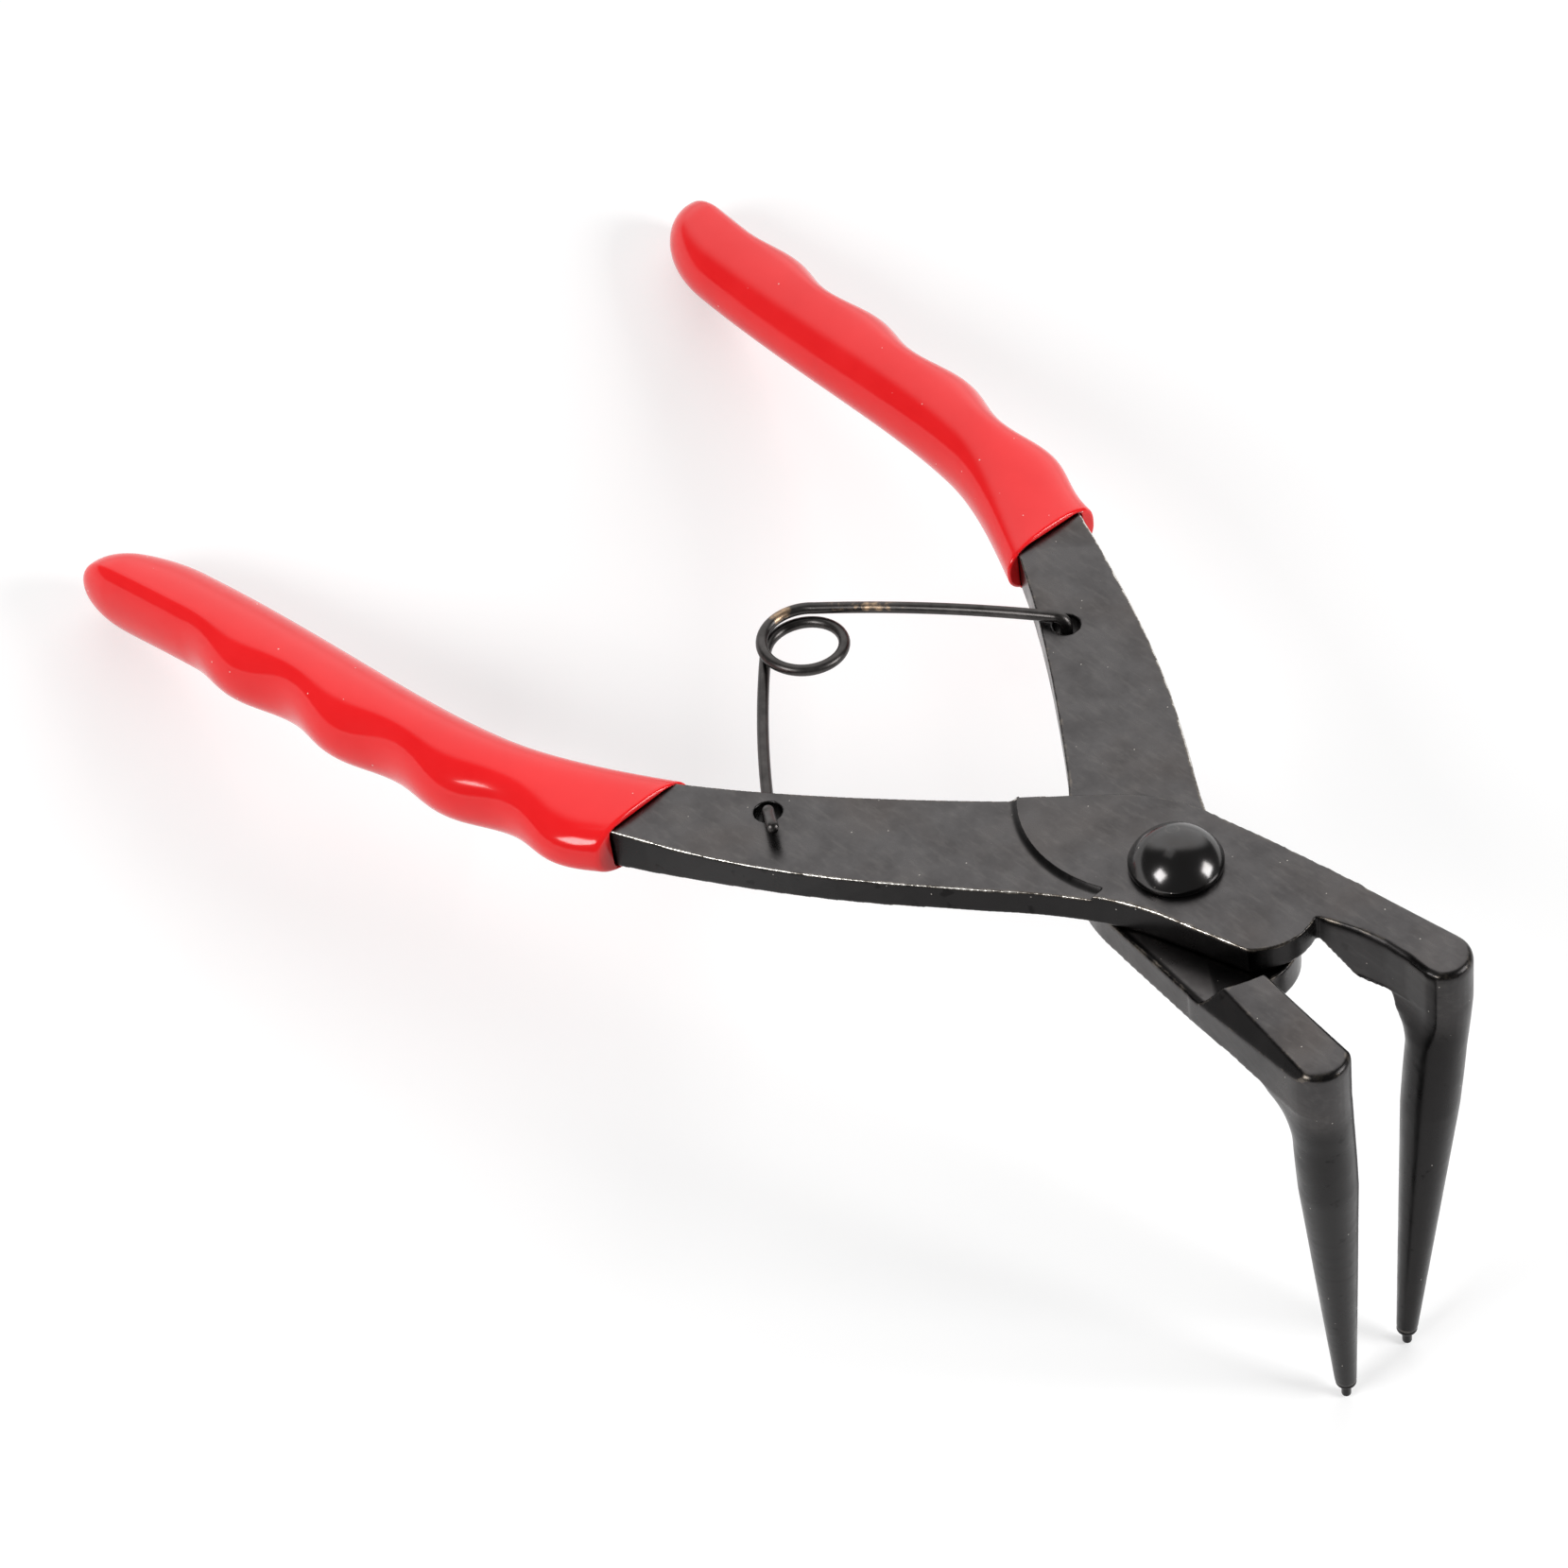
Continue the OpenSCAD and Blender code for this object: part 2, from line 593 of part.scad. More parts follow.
module grip_body() {
    end_t = spine_at(handle_back - end_round);
    long = [for (i = [1:grip_rings]) lerp(t_mouth, end_t, i / grip_rings)];
    tip = [for (a = [15:15:75]) lerp(end_t, 1, sin(a))];
    loft(concat(
        [grip_ring(t_mouth, mouth_lip)],
        [grip_ring(lerp(t_mouth, end_t, lip_share / grip_rings), 0)],
        [for (t = concat(long, tip, [1])) grip_ring(t, 0)]));
}

// The tang's own outline with clearance, open at the mouth.
pocket_lead = 6;
module tang_pocket() {
    pocket_end = spine_at(handle_back - end_round + grip_fit);
    open_t = spine_at(mouth_back - pocket_lead);
    steps = 24;
    linear_extrude(handle_t + 2 * grip_fit, center = true)
        polygon(concat(
            [for (i = [0:steps]) lap_edge(lerp(open_t, pocket_end, i / steps), grip_fit)],
            [for (i = [steps:-1:0]) edge(lerp(open_t, pocket_end, i / steps), -1, grip_fit)]));
}

module handle_grip() {
    difference() {
        grip_body();
        tang_pocket();
    }
}

handle_mid = lever_t - handle_t / 2;
module upper_grip() {
    color(grip_red)
        stand()
            translate([0, 0, handle_mid])
                handle_grip();
}

module lower_grip() {
    color(grip_red)
        stand()
            translate([0, 0, -handle_mid])
                mirror([0, 1, 0])
                    handle_grip();
}

// The tool stands nose-up on its pins and on the end of the lower grip.
pin_foot = [pin_top()[0], -prong_drop];
foot_share = 0.75;
grip_foot = [foot_share * end_round - handle_back, -lever_t - palm_cover];
tilt = atan2(pin_foot[1] - grip_foot[1], pin_foot[0] - grip_foot[0]);
function stood_x(x, z) = x * cos(tilt) + z * sin(tilt);
function stood_z(x, z) = z * cos(tilt) - x * sin(tilt);
pin_r = pin_d / 2;
stand_front = stood_x(pin_foot[0], pin_foot[1] + pin_r) + pin_r;
stand_back = stood_x(-handle_back, handle_mid);
pin_low = stood_z(pin_foot[0], pin_foot[1] + pin_r) - pin_r;
grip_low = min([for (k = [0:20], p = grip_ring(lerp(0.9, 1, k / 20), 0)) stood_z(p[0], p[2] - handle_mid)]);
stand_shift = [-(stand_front + stand_back) / 2, 0, -min(pin_low, grip_low)];
module stand() {
    translate(stand_shift)
        rotate([0, tilt, 0])
            children();
}

upper_lever();
lower_lever();
pivot_rivet();
return_spring();
upper_grip();
lower_grip();
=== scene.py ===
# %% [markdown]
# # Circlip pliers on a white table
# The tool is two forged levers that lap at a rivet, a wire spring that holds them open and two soft
# grips. The CAD solids already give every piece its place. This lesson gives them the look of the
# real thing: soft forged edges, moulded grips, a round wire, and finishes with rub and dust on them.
# Shapes are worked out in the levers' own frame, in millimetres: pivot on Z, lapped faces at z = 0
# and jaws towards +X. One function then stands them on the table, so no piece is placed by eye.

import json

import bmesh
import bpy
import numpy as np
from mathutils import Matrix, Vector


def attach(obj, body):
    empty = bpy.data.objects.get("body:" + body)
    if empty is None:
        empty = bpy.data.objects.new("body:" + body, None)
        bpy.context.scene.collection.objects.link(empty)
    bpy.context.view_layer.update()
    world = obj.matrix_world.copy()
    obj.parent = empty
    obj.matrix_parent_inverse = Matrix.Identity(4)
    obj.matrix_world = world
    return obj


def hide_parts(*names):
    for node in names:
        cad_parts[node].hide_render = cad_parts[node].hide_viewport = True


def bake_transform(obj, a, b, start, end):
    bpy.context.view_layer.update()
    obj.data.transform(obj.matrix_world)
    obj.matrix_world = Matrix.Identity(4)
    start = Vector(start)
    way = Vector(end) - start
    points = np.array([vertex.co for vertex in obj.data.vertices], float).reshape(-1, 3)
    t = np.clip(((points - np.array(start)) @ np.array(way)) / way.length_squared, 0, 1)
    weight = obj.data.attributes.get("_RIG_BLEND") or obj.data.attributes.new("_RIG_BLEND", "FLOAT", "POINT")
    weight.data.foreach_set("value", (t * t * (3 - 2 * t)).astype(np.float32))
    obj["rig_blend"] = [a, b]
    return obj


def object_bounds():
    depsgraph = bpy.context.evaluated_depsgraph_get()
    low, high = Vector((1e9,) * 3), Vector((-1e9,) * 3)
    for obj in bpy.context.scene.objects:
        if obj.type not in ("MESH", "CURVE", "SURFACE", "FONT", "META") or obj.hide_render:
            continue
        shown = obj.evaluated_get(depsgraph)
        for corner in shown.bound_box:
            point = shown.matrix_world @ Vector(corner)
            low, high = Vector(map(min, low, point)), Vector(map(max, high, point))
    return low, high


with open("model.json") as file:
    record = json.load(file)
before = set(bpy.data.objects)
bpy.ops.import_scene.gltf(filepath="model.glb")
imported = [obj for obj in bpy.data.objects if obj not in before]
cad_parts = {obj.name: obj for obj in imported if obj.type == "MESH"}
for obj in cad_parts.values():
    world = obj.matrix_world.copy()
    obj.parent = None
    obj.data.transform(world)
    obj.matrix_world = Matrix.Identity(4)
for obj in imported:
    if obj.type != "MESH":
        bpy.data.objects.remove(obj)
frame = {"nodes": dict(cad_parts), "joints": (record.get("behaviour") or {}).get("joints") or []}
cad_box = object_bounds()
pivot = frame["joints"][0]
pivot_place = np.array(pivot["pos_m"])
lever_up = np.array(pivot["axis"])
lever_side = np.array([0.0, 1.0, 0.0])
lever_axes = np.stack([np.cross(lever_side, lever_up), lever_side, lever_up])


def to_row(points):
    """Lever frame, mm, to row frame, m: each coordinate times its axis, plus the pivot's place."""
    return pivot_place + np.asarray(points) / 1000 @ lever_axes


def to_lever(points):
    """Row frame, m, to lever frame, mm: the way back from to_row."""
    return (np.asarray(points) - pivot_place) @ lever_axes.T * 1000


print("nodes", sorted(frame["nodes"]), "stand at", [round(c, 4) for c in pivot_place])

# %% [markdown]
# ## Skins over rings
# Grips, wire, rivet and pins are all closed skins over a stack of rings. A curve with a bevel or a
# Screw modifier would also do, but a numpy grid keeps the formula in view and gives clean quads.
# Points are stored in the row frame, so each object stays at the origin.

# %% Turn a stack of rings into a piece
def skin(name, rings, mirrored=False):
    """Closed mesh over rings of shape (rings, points, 3): each point joins the next one on its ring
    and the same two on the next ring, and a flat face closes each end."""
    rings = rings * np.array([1, -1, 1]) if mirrored else rings
    count, points, _ = rings.shape
    first = np.arange(count - 1)[:, None] * points + np.arange(points)
    after = np.arange(count - 1)[:, None] * points + np.roll(np.arange(points), -1)
    walls = np.stack([first, after, after + points, first + points], -1).reshape(-1, 4)
    ends = [list(range(points)), list(range((count - 1) * points, count * points))]
    mesh = bpy.data.meshes.new(name)
    mesh.from_pydata(to_row(rings.reshape(-1, 3)).tolist(), [], walls.tolist() + ends)
    work = bmesh.new()
    work.from_mesh(mesh)
    bmesh.ops.recalc_face_normals(work, faces=work.faces)
    work.to_mesh(mesh)
    work.free()
    mesh.shade_smooth()
    piece = bpy.data.objects.new(name, mesh)
    bpy.context.scene.collection.objects.link(piece)
    print(name, len(mesh.polygons), "faces")
    return piece


def ease(t):
    """Smooth step: 3 t squared minus 2 t cubed between 0 and 1."""
    t = np.clip(t, 0, 1)
    return t * t * (3 - 2 * t)


def square_off(c, power):
    """One side of a superellipse: round for power 2, boxy for a higher power."""
    return np.sign(c) * np.abs(c) ** (2 / power)


# %% [markdown]
# ## The handle's curve
# Each handle follows one cubic curve from the neck behind the head to the end of the grip. The
# grips, the spring's holes and the rubbed edges are all placed from it, as on the drawing.

# %% The handle's middle line and its edges
neck = np.array([-20.0, -12.0])
handle_end = np.array([-158.0, -57.0])
neck_pull = neck + np.array([-58.0, -45.0])
end_pull = handle_end + np.array([70.0, 13.0])


def handle_line(t):
    """Place and heading on a cubic Bezier curve: four points weighed by powers of t and 1 - t."""
    t = np.asarray(t, float)[..., None]
    s = 1 - t
    place = s**3 * neck + 3 * t * s**2 * neck_pull + 3 * t**2 * s * end_pull + t**3 * handle_end
    way = s**2 * (neck_pull - neck) + 2 * t * s * (end_pull - neck_pull) + t**2 * (handle_end - end_pull)
    return place, way / np.linalg.norm(way, axis=-1, keepdims=True)


curve_table = np.linspace(0, 1, 4001)
back_table = -handle_line(curve_table)[0][:, 0]


def handle_at(back):
    """The curve's parameter at a distance behind the pivot, read from a fine table."""
    return np.interp(back, back_table, curve_table)


mouth_back = 59.0
handle_back = 158.0
neck_w = 16.0
mouth_w = 11.8
tang_w = 8.6
mouth_inset = 1.4
grip_slim = 2.0
tang_rate = 5
upper_hole_back = 44.5
lower_hole_back = 43.1
hole_inset = 3.5
t_mouth = handle_at(mouth_back)


def handle_half_w(t):
    """Half the handle's width: straight from neck to mouth, then eased to the tang's width."""
    shown = neck_w + (mouth_w - neck_w) * t / t_mouth
    inside = mouth_w + (tang_w - mouth_w) * ease((t - t_mouth) * tang_rate)
    return np.where(t < t_mouth, shown, inside) / 2


def inner_edge(t, inset=0.0):
    """The handle's inner edge: middle line less half the width across it, moved in by an inset."""
    place, way = handle_line(t)
    outward = np.stack([-way[..., 1], way[..., 0]], -1)
    return place - (handle_half_w(t) - inset)[..., None] * outward


upper_hole = inner_edge(handle_at(upper_hole_back), hole_inset)
lower_hole = inner_edge(handle_at(lower_hole_back), hole_inset) * [1, -1]
print("the mouth is at t =", round(float(t_mouth), 3), "and the holes at", upper_hole, lower_hole)

# %% [markdown]
# ## The grips
# The real grips are vinyl sleeves, moulded hot and pushed over the tangs. Their section is a soft
# oval, with finger waves on the outer side only, and the mouth is cut on a slant with a rounded
# rim and a thin dark gap round the steel. A subdivided box would lose the even waves, so the sleeve
# is one ring pattern that starts inside the pocket, turns over the rim and runs to the round end.

# %% Loft the grips
lever_t = 3.9
handle_t = 6.2
handle_mid = lever_t - handle_t / 2
grip_back = 157.85
end_round = 7.0
inner_round = 16.0
under_round = 10.0
grip_wall = 2.08
mouth_cover = 1.2
palm_cover = 2.65
palm_swell = 2.6
palm_start = 26.0
swell_full = 0.9
mouth_slant = np.radians(24)
mouth_power = 2.5
palm_power = 2.04
pocket_power = 9
wave_h = 0.85
wave_pitch = 20.3
wave_count = 4
rim_r = 0.5
pocket_gap = 0.2
pocket_l = 6.0


def grip_rings(wave_first, points=128):
    """Superellipse rings along the handle's curve. Across: half the handle plus the wall, with a
    cosine wave on the outer side, which slims to the end, and an eased swell on the inner side. Up: half
    the handle plus the cover, eased from mouth to palm. Each side closes as a quarter ellipse of its
    own length at the end and as a quarter circle over the rim. The pocket is a boxier superellipse on
    the same bearings."""
    quarter = np.linspace(0, np.pi / 2, 9)
    inner_back = mouth_back + rim_r / 2 * np.append(2 * pocket_l / rim_r, 1 - np.sin(quarter))
    outer_back = mouth_back + rim_r * (1 - np.cos(quarter))
    body_back = np.linspace(mouth_back + rim_r, grip_back - end_round, 241)[1:]
    cap_back = grip_back - end_round + end_round * np.sin(np.linspace(0, np.pi / 2, 33)[1:])
    inner_inset = rim_r / 2 * np.append(0, 1 - np.cos(quarter))
    back = np.concatenate([inner_back, outer_back, body_back, cap_back])
    inside = np.arange(len(back)) < len(inner_back)
    inset = np.zeros(len(back))
    inset[len(inner_back):len(inner_back) + len(quarter)] = rim_r * (1 - np.sin(quarter))
    t = handle_at(back)
    place, way = handle_line(t)
    rounds = np.array([[end_round], [inner_round], [under_round]])
    cap = np.clip((back - grip_back) / rounds + 1, 0, 1)
    closing, inner_closing, under_closing = np.sqrt(np.maximum(1e-5, 1 - cap * cap))
    palm = ease((back - mouth_back) / palm_start)
    along = np.clip((back - mouth_back) / (handle_back - mouth_back), 0, 1)
    last_wave = wave_first + (wave_count - 0.5) * wave_pitch
    wave = np.where(back > last_wave, -wave_h, wave_h * np.cos(2 * np.pi * (back - wave_first) / wave_pitch))
    w = handle_half_w(t) + grip_wall - inset
    h = handle_t / 2 + mouth_cover + (palm_cover - mouth_cover) * palm - inset
    outer = (w + wave - mouth_inset / 2 - grip_slim * along) * closing
    inner = (w + palm_swell * ease(along / swell_full)) * inner_closing
    slant = np.tan(mouth_slant) * (1 - palm)
    a = np.linspace(0, 2 * np.pi, points, endpoint=False)
    power = (mouth_power + (palm_power - mouth_power) * palm)[:, None]
    across = square_off(np.cos(a), power) * np.where(np.cos(a) > 0, outer[:, None], inner[:, None])
    above, below = (h * closing)[:, None], (h * under_closing)[:, None]
    height = square_off(np.sin(a), power) * np.where(np.sin(a) > 0, above, below)
    pocket_w = handle_half_w(t[inside]) + pocket_gap + inner_inset
    pocket_h = handle_t / 2 + pocket_gap + inner_inset
    bearing = np.arctan2(height[len(inner_back)], across[len(inner_back)])
    half = np.where(np.cos(bearing) > 0, (pocket_w - mouth_inset)[:, None], pocket_w[:, None])
    reach = np.abs(np.cos(bearing) / half) ** pocket_power
    reach = (reach + np.abs(np.sin(bearing) / pocket_h[:, None]) ** pocket_power) ** (-1 / pocket_power)
    across[inside] = np.cos(bearing) * reach
    height[inside] = np.sin(bearing) * reach
    outward = np.stack([-way[:, 1], way[:, 0]], -1)
    lean = outward + slant[:, None] * way
    flat = place[:, None, :] + across[..., None] * lean[:, None, :]
    return np.concatenate([flat, height[..., None]], -1)


lift = np.array([0, 0, handle_mid])
upper_first_wave = 64.5
lower_first_wave = 72.3
upper_grip = skin("upper_grip_sleeve", grip_rings(upper_first_wave) + lift)
lower_grip = skin("lower_grip_sleeve", grip_rings(lower_first_wave) - lift, mirrored=True)

# %% [markdown]
# ## The forged levers
# A lever is drop forged, trimmed, ground and blackened, so every edge is a little round and no face
# is perfectly flat. A Bevel modifier stumbles where the prong's loft meets the plate. Instead the
# solid is copied, made again as very small even squares and relaxed a few times, which rounds
# each edge by about a third of a millimetre, as tumbling does. It is turned into the levers' own frame for
# that, so that its flat faces lie along the squares.

# %% Remake the levers with soft edges
root_top = -5.0
root_fade = 4.0
prong_low = -42.0
prong_fade = 14.0


def set_points(mesh, points):
    """Writes an array of points, shape (n, 3), into a mesh."""
    mesh.vertices.foreach_set("co", np.asarray(points, np.float32).ravel())
    mesh.update()


def get_points(mesh):
    """Reads a mesh's points as an array of shape (n, 3)."""
    flat = np.empty(len(mesh.vertices) * 3, np.float32)
    mesh.vertices.foreach_get("co", flat)
    return flat.reshape(-1, 3).astype(float)


def apply_modifiers(piece):
    """Puts the shape that the modifiers give into the piece's own mesh."""
    ready = piece.evaluated_get(bpy.context.evaluated_depsgraph_get())
    shape = bpy.data.meshes.new_from_object(ready)
    piece.modifiers.clear()
    piece.data = shape
    shape.name = piece.name


def forge(node, name, prong_passes, grain=0.2, passes=7):
    """The node's solid, remade as squares of one grain in mm and relaxed by so many passes, with some more
    on the root of the prong. The points stay in the levers' own frame, in mm."""
    mesh = frame["nodes"][node].data.copy()
    work = bmesh.new()
    work.from_mesh(mesh)
    bmesh.ops.remove_doubles(work, verts=work.verts, dist=1e-6)
    work.to_mesh(mesh)
    work.free()
    mesh.materials.clear()
    set_points(mesh, to_lever(get_points(mesh)))
    piece = bpy.data.objects.new(name, mesh)
    bpy.context.scene.collection.objects.link(piece)
    remake = piece.modifiers.new("remake", "REMESH")
    remake.mode = "VOXEL"
    remake.voxel_size = grain
    relax = piece.modifiers.new("relax", "SMOOTH")
    relax.factor = 0.5
    relax.iterations = passes
    apply_modifiers(piece)
    z = get_points(piece.data)[:, 2]
    soft = piece.vertex_groups.new(name="prong")
    for share in (0.25, 0.5, 0.75, 1.0):
        in_root = np.minimum(ease((root_top - z) / root_fade), ease((z - prong_low) / prong_fade))
        inside = in_root >= share - 0.125
        soft.add(np.flatnonzero(inside).tolist(), share, "REPLACE")
    polish = piece.modifiers.new("polish", "SMOOTH")
    polish.vertex_group = "prong"
    polish.factor = 0.5
    polish.iterations = prong_passes
    apply_modifiers(piece)
    piece.vertex_groups.clear()
    print(name, len(piece.data.polygons), "squares")
    return piece


upper_lever = forge("upper_lever", "upper_lever_forging", 12)
lower_lever = forge("lower_lever", "lower_lever_forging", 60)

# %% [markdown]
# ## The step round the boss
# On the upper face the boss ends at a round step towards the handle. The forging die leaves a hollow
# curve there, crisp at the top and soft at the foot, which shows as a dark band. The solid has a plain
# step, so the squares near it are lifted onto the hollow curve.

# %% Hollow the step
boss_middle = np.array([-10.5, 8.0])
boss_r = 18.0
boss_rise = 0.7
boss_face = lever_t + boss_rise
step_run = 1.2
step_power = 1.6
step_front = 2.0
edge_round = 0.3
jaw_angle = np.radians(9.0)
jaw_under = -4.1
ramp_start = 11.0
ramp_end = 20.5
ramp_run = 9.0
root_reach = 23.0


def hollow_step(points):
    """Lifts points of the upper face outside the boss's arc to a height that falls as a power of
    the distance from the arc, over a short run."""
    past = np.linalg.norm(points[:, :2] - boss_middle, axis=1) - boss_r
    rise = boss_rise * np.clip(1 - past / step_run, 0, 1) ** step_power
    share = ease((points[:, 2] - lever_t + edge_round) / edge_round)
    share = share * (past > -0.25) * (points[:, 0] < step_front)
    lifted = np.where(past > 0, lever_t + rise, boss_face)
    points[:, 2] += share * np.maximum(lifted - points[:, 2], 0)
    return points


def ease_root(points):
    """Lets the boss under the lower lever run out towards its jaw on an eased ramp, not at a step."""
    along_jaw = points @ np.array([np.cos(jaw_angle), -np.sin(jaw_angle), 0.0])
    floor = jaw_under - (boss_face + jaw_under) * ease((ramp_end - along_jaw) / ramp_run)
    under = (points[:, 2] < jaw_under) & (np.abs(points[:, 0]) < root_reach) & (along_jaw > ramp_start)
    points[under, 2] = np.maximum(points[under, 2], floor[under])
    return points


set_points(upper_lever.data, hollow_step(get_points(upper_lever.data)))
set_points(lower_lever.data, ease_root(get_points(lower_lever.data)))
print("step hollowed over", step_run, "mm")

# %% [markdown]
# ## Wear and painted light on the steel
# On the real tool the broad faces are ground smooth before blackening, the walls stay as forged, and
# the black is rubbed through to bright steel along the edges that meet other things. Painting that by
# hand would not follow the shape. Instead each point gets numbers that a material can read: how far it
# faces straight up or down, how far it stands out from its neighbours, and whether it is lapped. Painted
# light goes in with them: a share of the paler face tone on some walls, a paler strip of painted
# reflection and a painted shade on the lapped face, and bright edges that are partly painted highlights.

# %% Measure faces and edges
def get_normals(mesh):
    """Reads a mesh's point normals as an array of shape (n, 3)."""
    flat = np.empty(len(mesh.vertices) * 3, np.float32)
    mesh.vertex_normals.foreach_get("vector", flat)
    return flat.reshape(-1, 3).astype(float)


def standing_out(mesh, passes=10):
    """How far, in mm, each point stands out from its surroundings: the point less the mean of its
    neighbours, taken some passes deep, along the normal. An edge is positive and a flat face is 0."""
    pairs = np.empty(len(mesh.edges) * 2, np.int32)
    mesh.edges.foreach_get("vertices", pairs)
    one, other = pairs.reshape(-1, 2).T
    points = get_points(mesh)
    count = len(points)
    shared = np.bincount(pairs, minlength=count)[:, None]
    around = points
    for _ in range(passes):
        sums = [np.bincount(one, c[other], count) + np.bincount(other, c[one], count) for c in around.T]
        around = np.stack(sums, -1) / shared
    return ((points - around) * get_normals(mesh)).sum(-1)


def paint(piece, name, amounts):
    """Writes one number from 0 to 1 for each point, which a material reads by its name."""
    layer = piece.data.attributes.new(name, "FLOAT", "POINT")
    layer.data.foreach_set("value", np.clip(amounts, 0, 1).astype(np.float32))


jaw_out = 9.9
nose_x = 22.0
head_back = -17.0
lap_back = -6.0
full_edge = 0.055
edge_floor = 0.25
hole_clear = 2.6
strip_w = 3.2
strip_ragged = 0.55
strip_border = 0.7


def lap_painted_reflection(points):
    """Painted reflection on the lower lever's lapped face: a paler ragged strip along the jaw's outer edge,
    away from the upper lever, from a few sine waves of different lengths that shift its border in and out."""
    x, y, _ = points.T
    ragged = np.sin(1.1 * x + 0.7 * y) + np.sin(2.3 * x - 1.7 * y + 1) + 0.7 * np.sin(4.9 * x + 3.9 * y + 2)
    inside = jaw_out + np.sin(jaw_angle) * x + np.cos(jaw_angle) * y
    return ease((strip_w + strip_ragged * ragged - inside) / 0.5) * ease((inside - strip_border) / 0.4)


def weather(piece, wall_painted_light, outer_way, hole):
    """Paints faces smoothed by grinding, with painted light on some walls, rubbed edges that are also
    painted edge highlights, and a painted shade on the lapped face. The handle's outer top edge is rubbed
    the most, the prongs' walls get no painted light and stay darkest, and the lapped face is paler only in a
    strip."""
    normals = get_normals(piece.data)
    points = get_points(piece.data)
    edge = np.clip(standing_out(piece.data) / full_edge - edge_floor, 0, 1)
    level = ease((np.abs(normals[:, 2]) - 0.8) / 0.17)
    upright = ease((0.45 - np.abs(normals[:, 2])) / 0.2)
    lapped = (np.abs(points[:, 2]) < 0.5) & (np.abs(normals[:, 2]) > 0.8) & (points[:, 0] > lap_back)
    # Painted reflection: on the lapped face the paler tone follows a ragged strip away from the upper lever.
    level = np.where(lapped, 0.95 * lap_painted_reflection(points), level)
    outer = ease((outer_way * normals[:, 1] - 0.1) / 0.4) * ease((normals[:, 2] - 0.15) / 0.4)
    on_head = ease((points[:, 0] - head_back) / 6)
    behind_nose = ease((nose_x - points[:, 0]) / 6) * (1 - 0.45 * on_head)
    by_hole = ease(np.linalg.norm(points[:, :2] - hole, axis=1) - hole_clear)
    # Painted light: walls take a share of the paler face tone, more on the lower lever and the upper jaw,
    # none low on the prongs.
    walls = wall_painted_light(points[:, 0]) * upright * ease((points[:, 2] + 9) / 5)
    paint(piece, "ground", walls + (1 - walls) * level)
    # The rub marks worn edges and also paints bright edge highlights.
    paint(piece, "rub", edge * by_hole * (0.52 + 0.5 * outer * behind_nose))
    # Painted shade: the lapped face outside the paler strip, where the upper lever covers it.
    paint(piece, "lap", lapped * (1 - level))
    print(piece.name, "edges on", round(float((edge > 0.5).mean()), 3), "of the points")


# The wall share is painted light: some on the upper jaw's walls, more on all the lower lever's walls.
weather(upper_lever, lambda x: 0.35 * ease((x - 18) / 3), -1.0, upper_hole)
weather(lower_lever, lambda x: 0.55, 1.0, lower_hole)

# %% [markdown]
# ## Fewer triangles where it is flat
# The small squares are needed only at the edges. A Decimate modifier joins them on the flat faces, where
# nothing is lost, and each lever is then stood in its place.

# %% Thin the levers and stand them in place
most_triangles = 190000
for piece in (upper_lever, lower_lever):
    thin = piece.modifiers.new("thin", "DECIMATE")
    thin.ratio = min(1.0, most_triangles / (2 * len(piece.data.polygons)))
    apply_modifiers(piece)
    set_points(piece.data, to_row(get_points(piece.data)))
    piece.data.shade_smooth()
    print(piece.name, len(piece.data.polygons), "triangles", [a.name for a in piece.data.attributes])

# %% [markdown]
# ## Rivet and pins
# The rivet's head is a turned dome with a short plain rim, and its tail is closed to a low dome.
# The pins that enter the circlip are turned too, with a small fillet at the shoulder. Each is a
# profile of radius and height carried round an axis, so the circles stay true.

# %% Turn the rivet and the pins
def turned(name, profile, place, points=96, mirrored=False):
    """Revolves a profile of (radius, height) pairs round an upright axis through place."""
    profile = np.asarray(profile, float)
    a = np.linspace(0, 2 * np.pi, points, endpoint=False)
    ring = np.stack([np.cos(a), np.sin(a), np.zeros_like(a)], -1)
    rings = profile[:, None, :1] * ring + profile[:, None, 1:] * np.array([0, 0, 1])
    return skin(name, rings + np.asarray(place), mirrored)


def dome(radius, rise, steps=28):
    """Quarter of a spherical cap from rim to crown: (radius, height) pairs on a circle of radius
    (radius squared plus rise squared) over twice the rise."""
    ball = (radius**2 + rise**2) / (2 * rise)
    a = np.linspace(np.arcsin(radius / ball), 0.002, steps)
    return np.stack([ball * np.sin(a), ball * np.cos(a) - ball + rise], -1)


def corner(radius, height, r, steps=7):
    """Quarter round of size r that ends a rim: (radius, height) pairs from wall to top."""
    a = np.linspace(0, np.pi / 2, steps)
    return np.stack([radius - r + r * np.cos(a), height - r + r * np.sin(a)], -1)


head_r = 6.0
head_rise = 3.9
head_rim = 0.9
foot_r = 5.4
foot_rise = 1.5
foot_rim = 0.4
foot_corner = 0.15
foot_room = 0.08
shank_r = 3.3
seat_r = 5.9
rim = np.array([[head_r, 0.5], [head_r, 0.85]])
head = np.concatenate([rim, dome(head_r, head_rise) + [0, head_rim]]) + [0, boss_face]
foot_face = -boss_face - foot_room
foot_dome = dome(foot_r - foot_corner, foot_rise)[1:] + [0, foot_rim]
foot = np.concatenate([corner(foot_r, foot_rim, foot_corner), foot_dome]) * [1, -1] + [0, foot_face]
shank = np.array([[foot_r, foot_face], [shank_r, foot_face], [shank_r, boss_face], [seat_r, boss_face]])
rivet = turned("pivot_rivet_turned", np.concatenate([foot[::-1], shank, head]), (0, 0, 0))

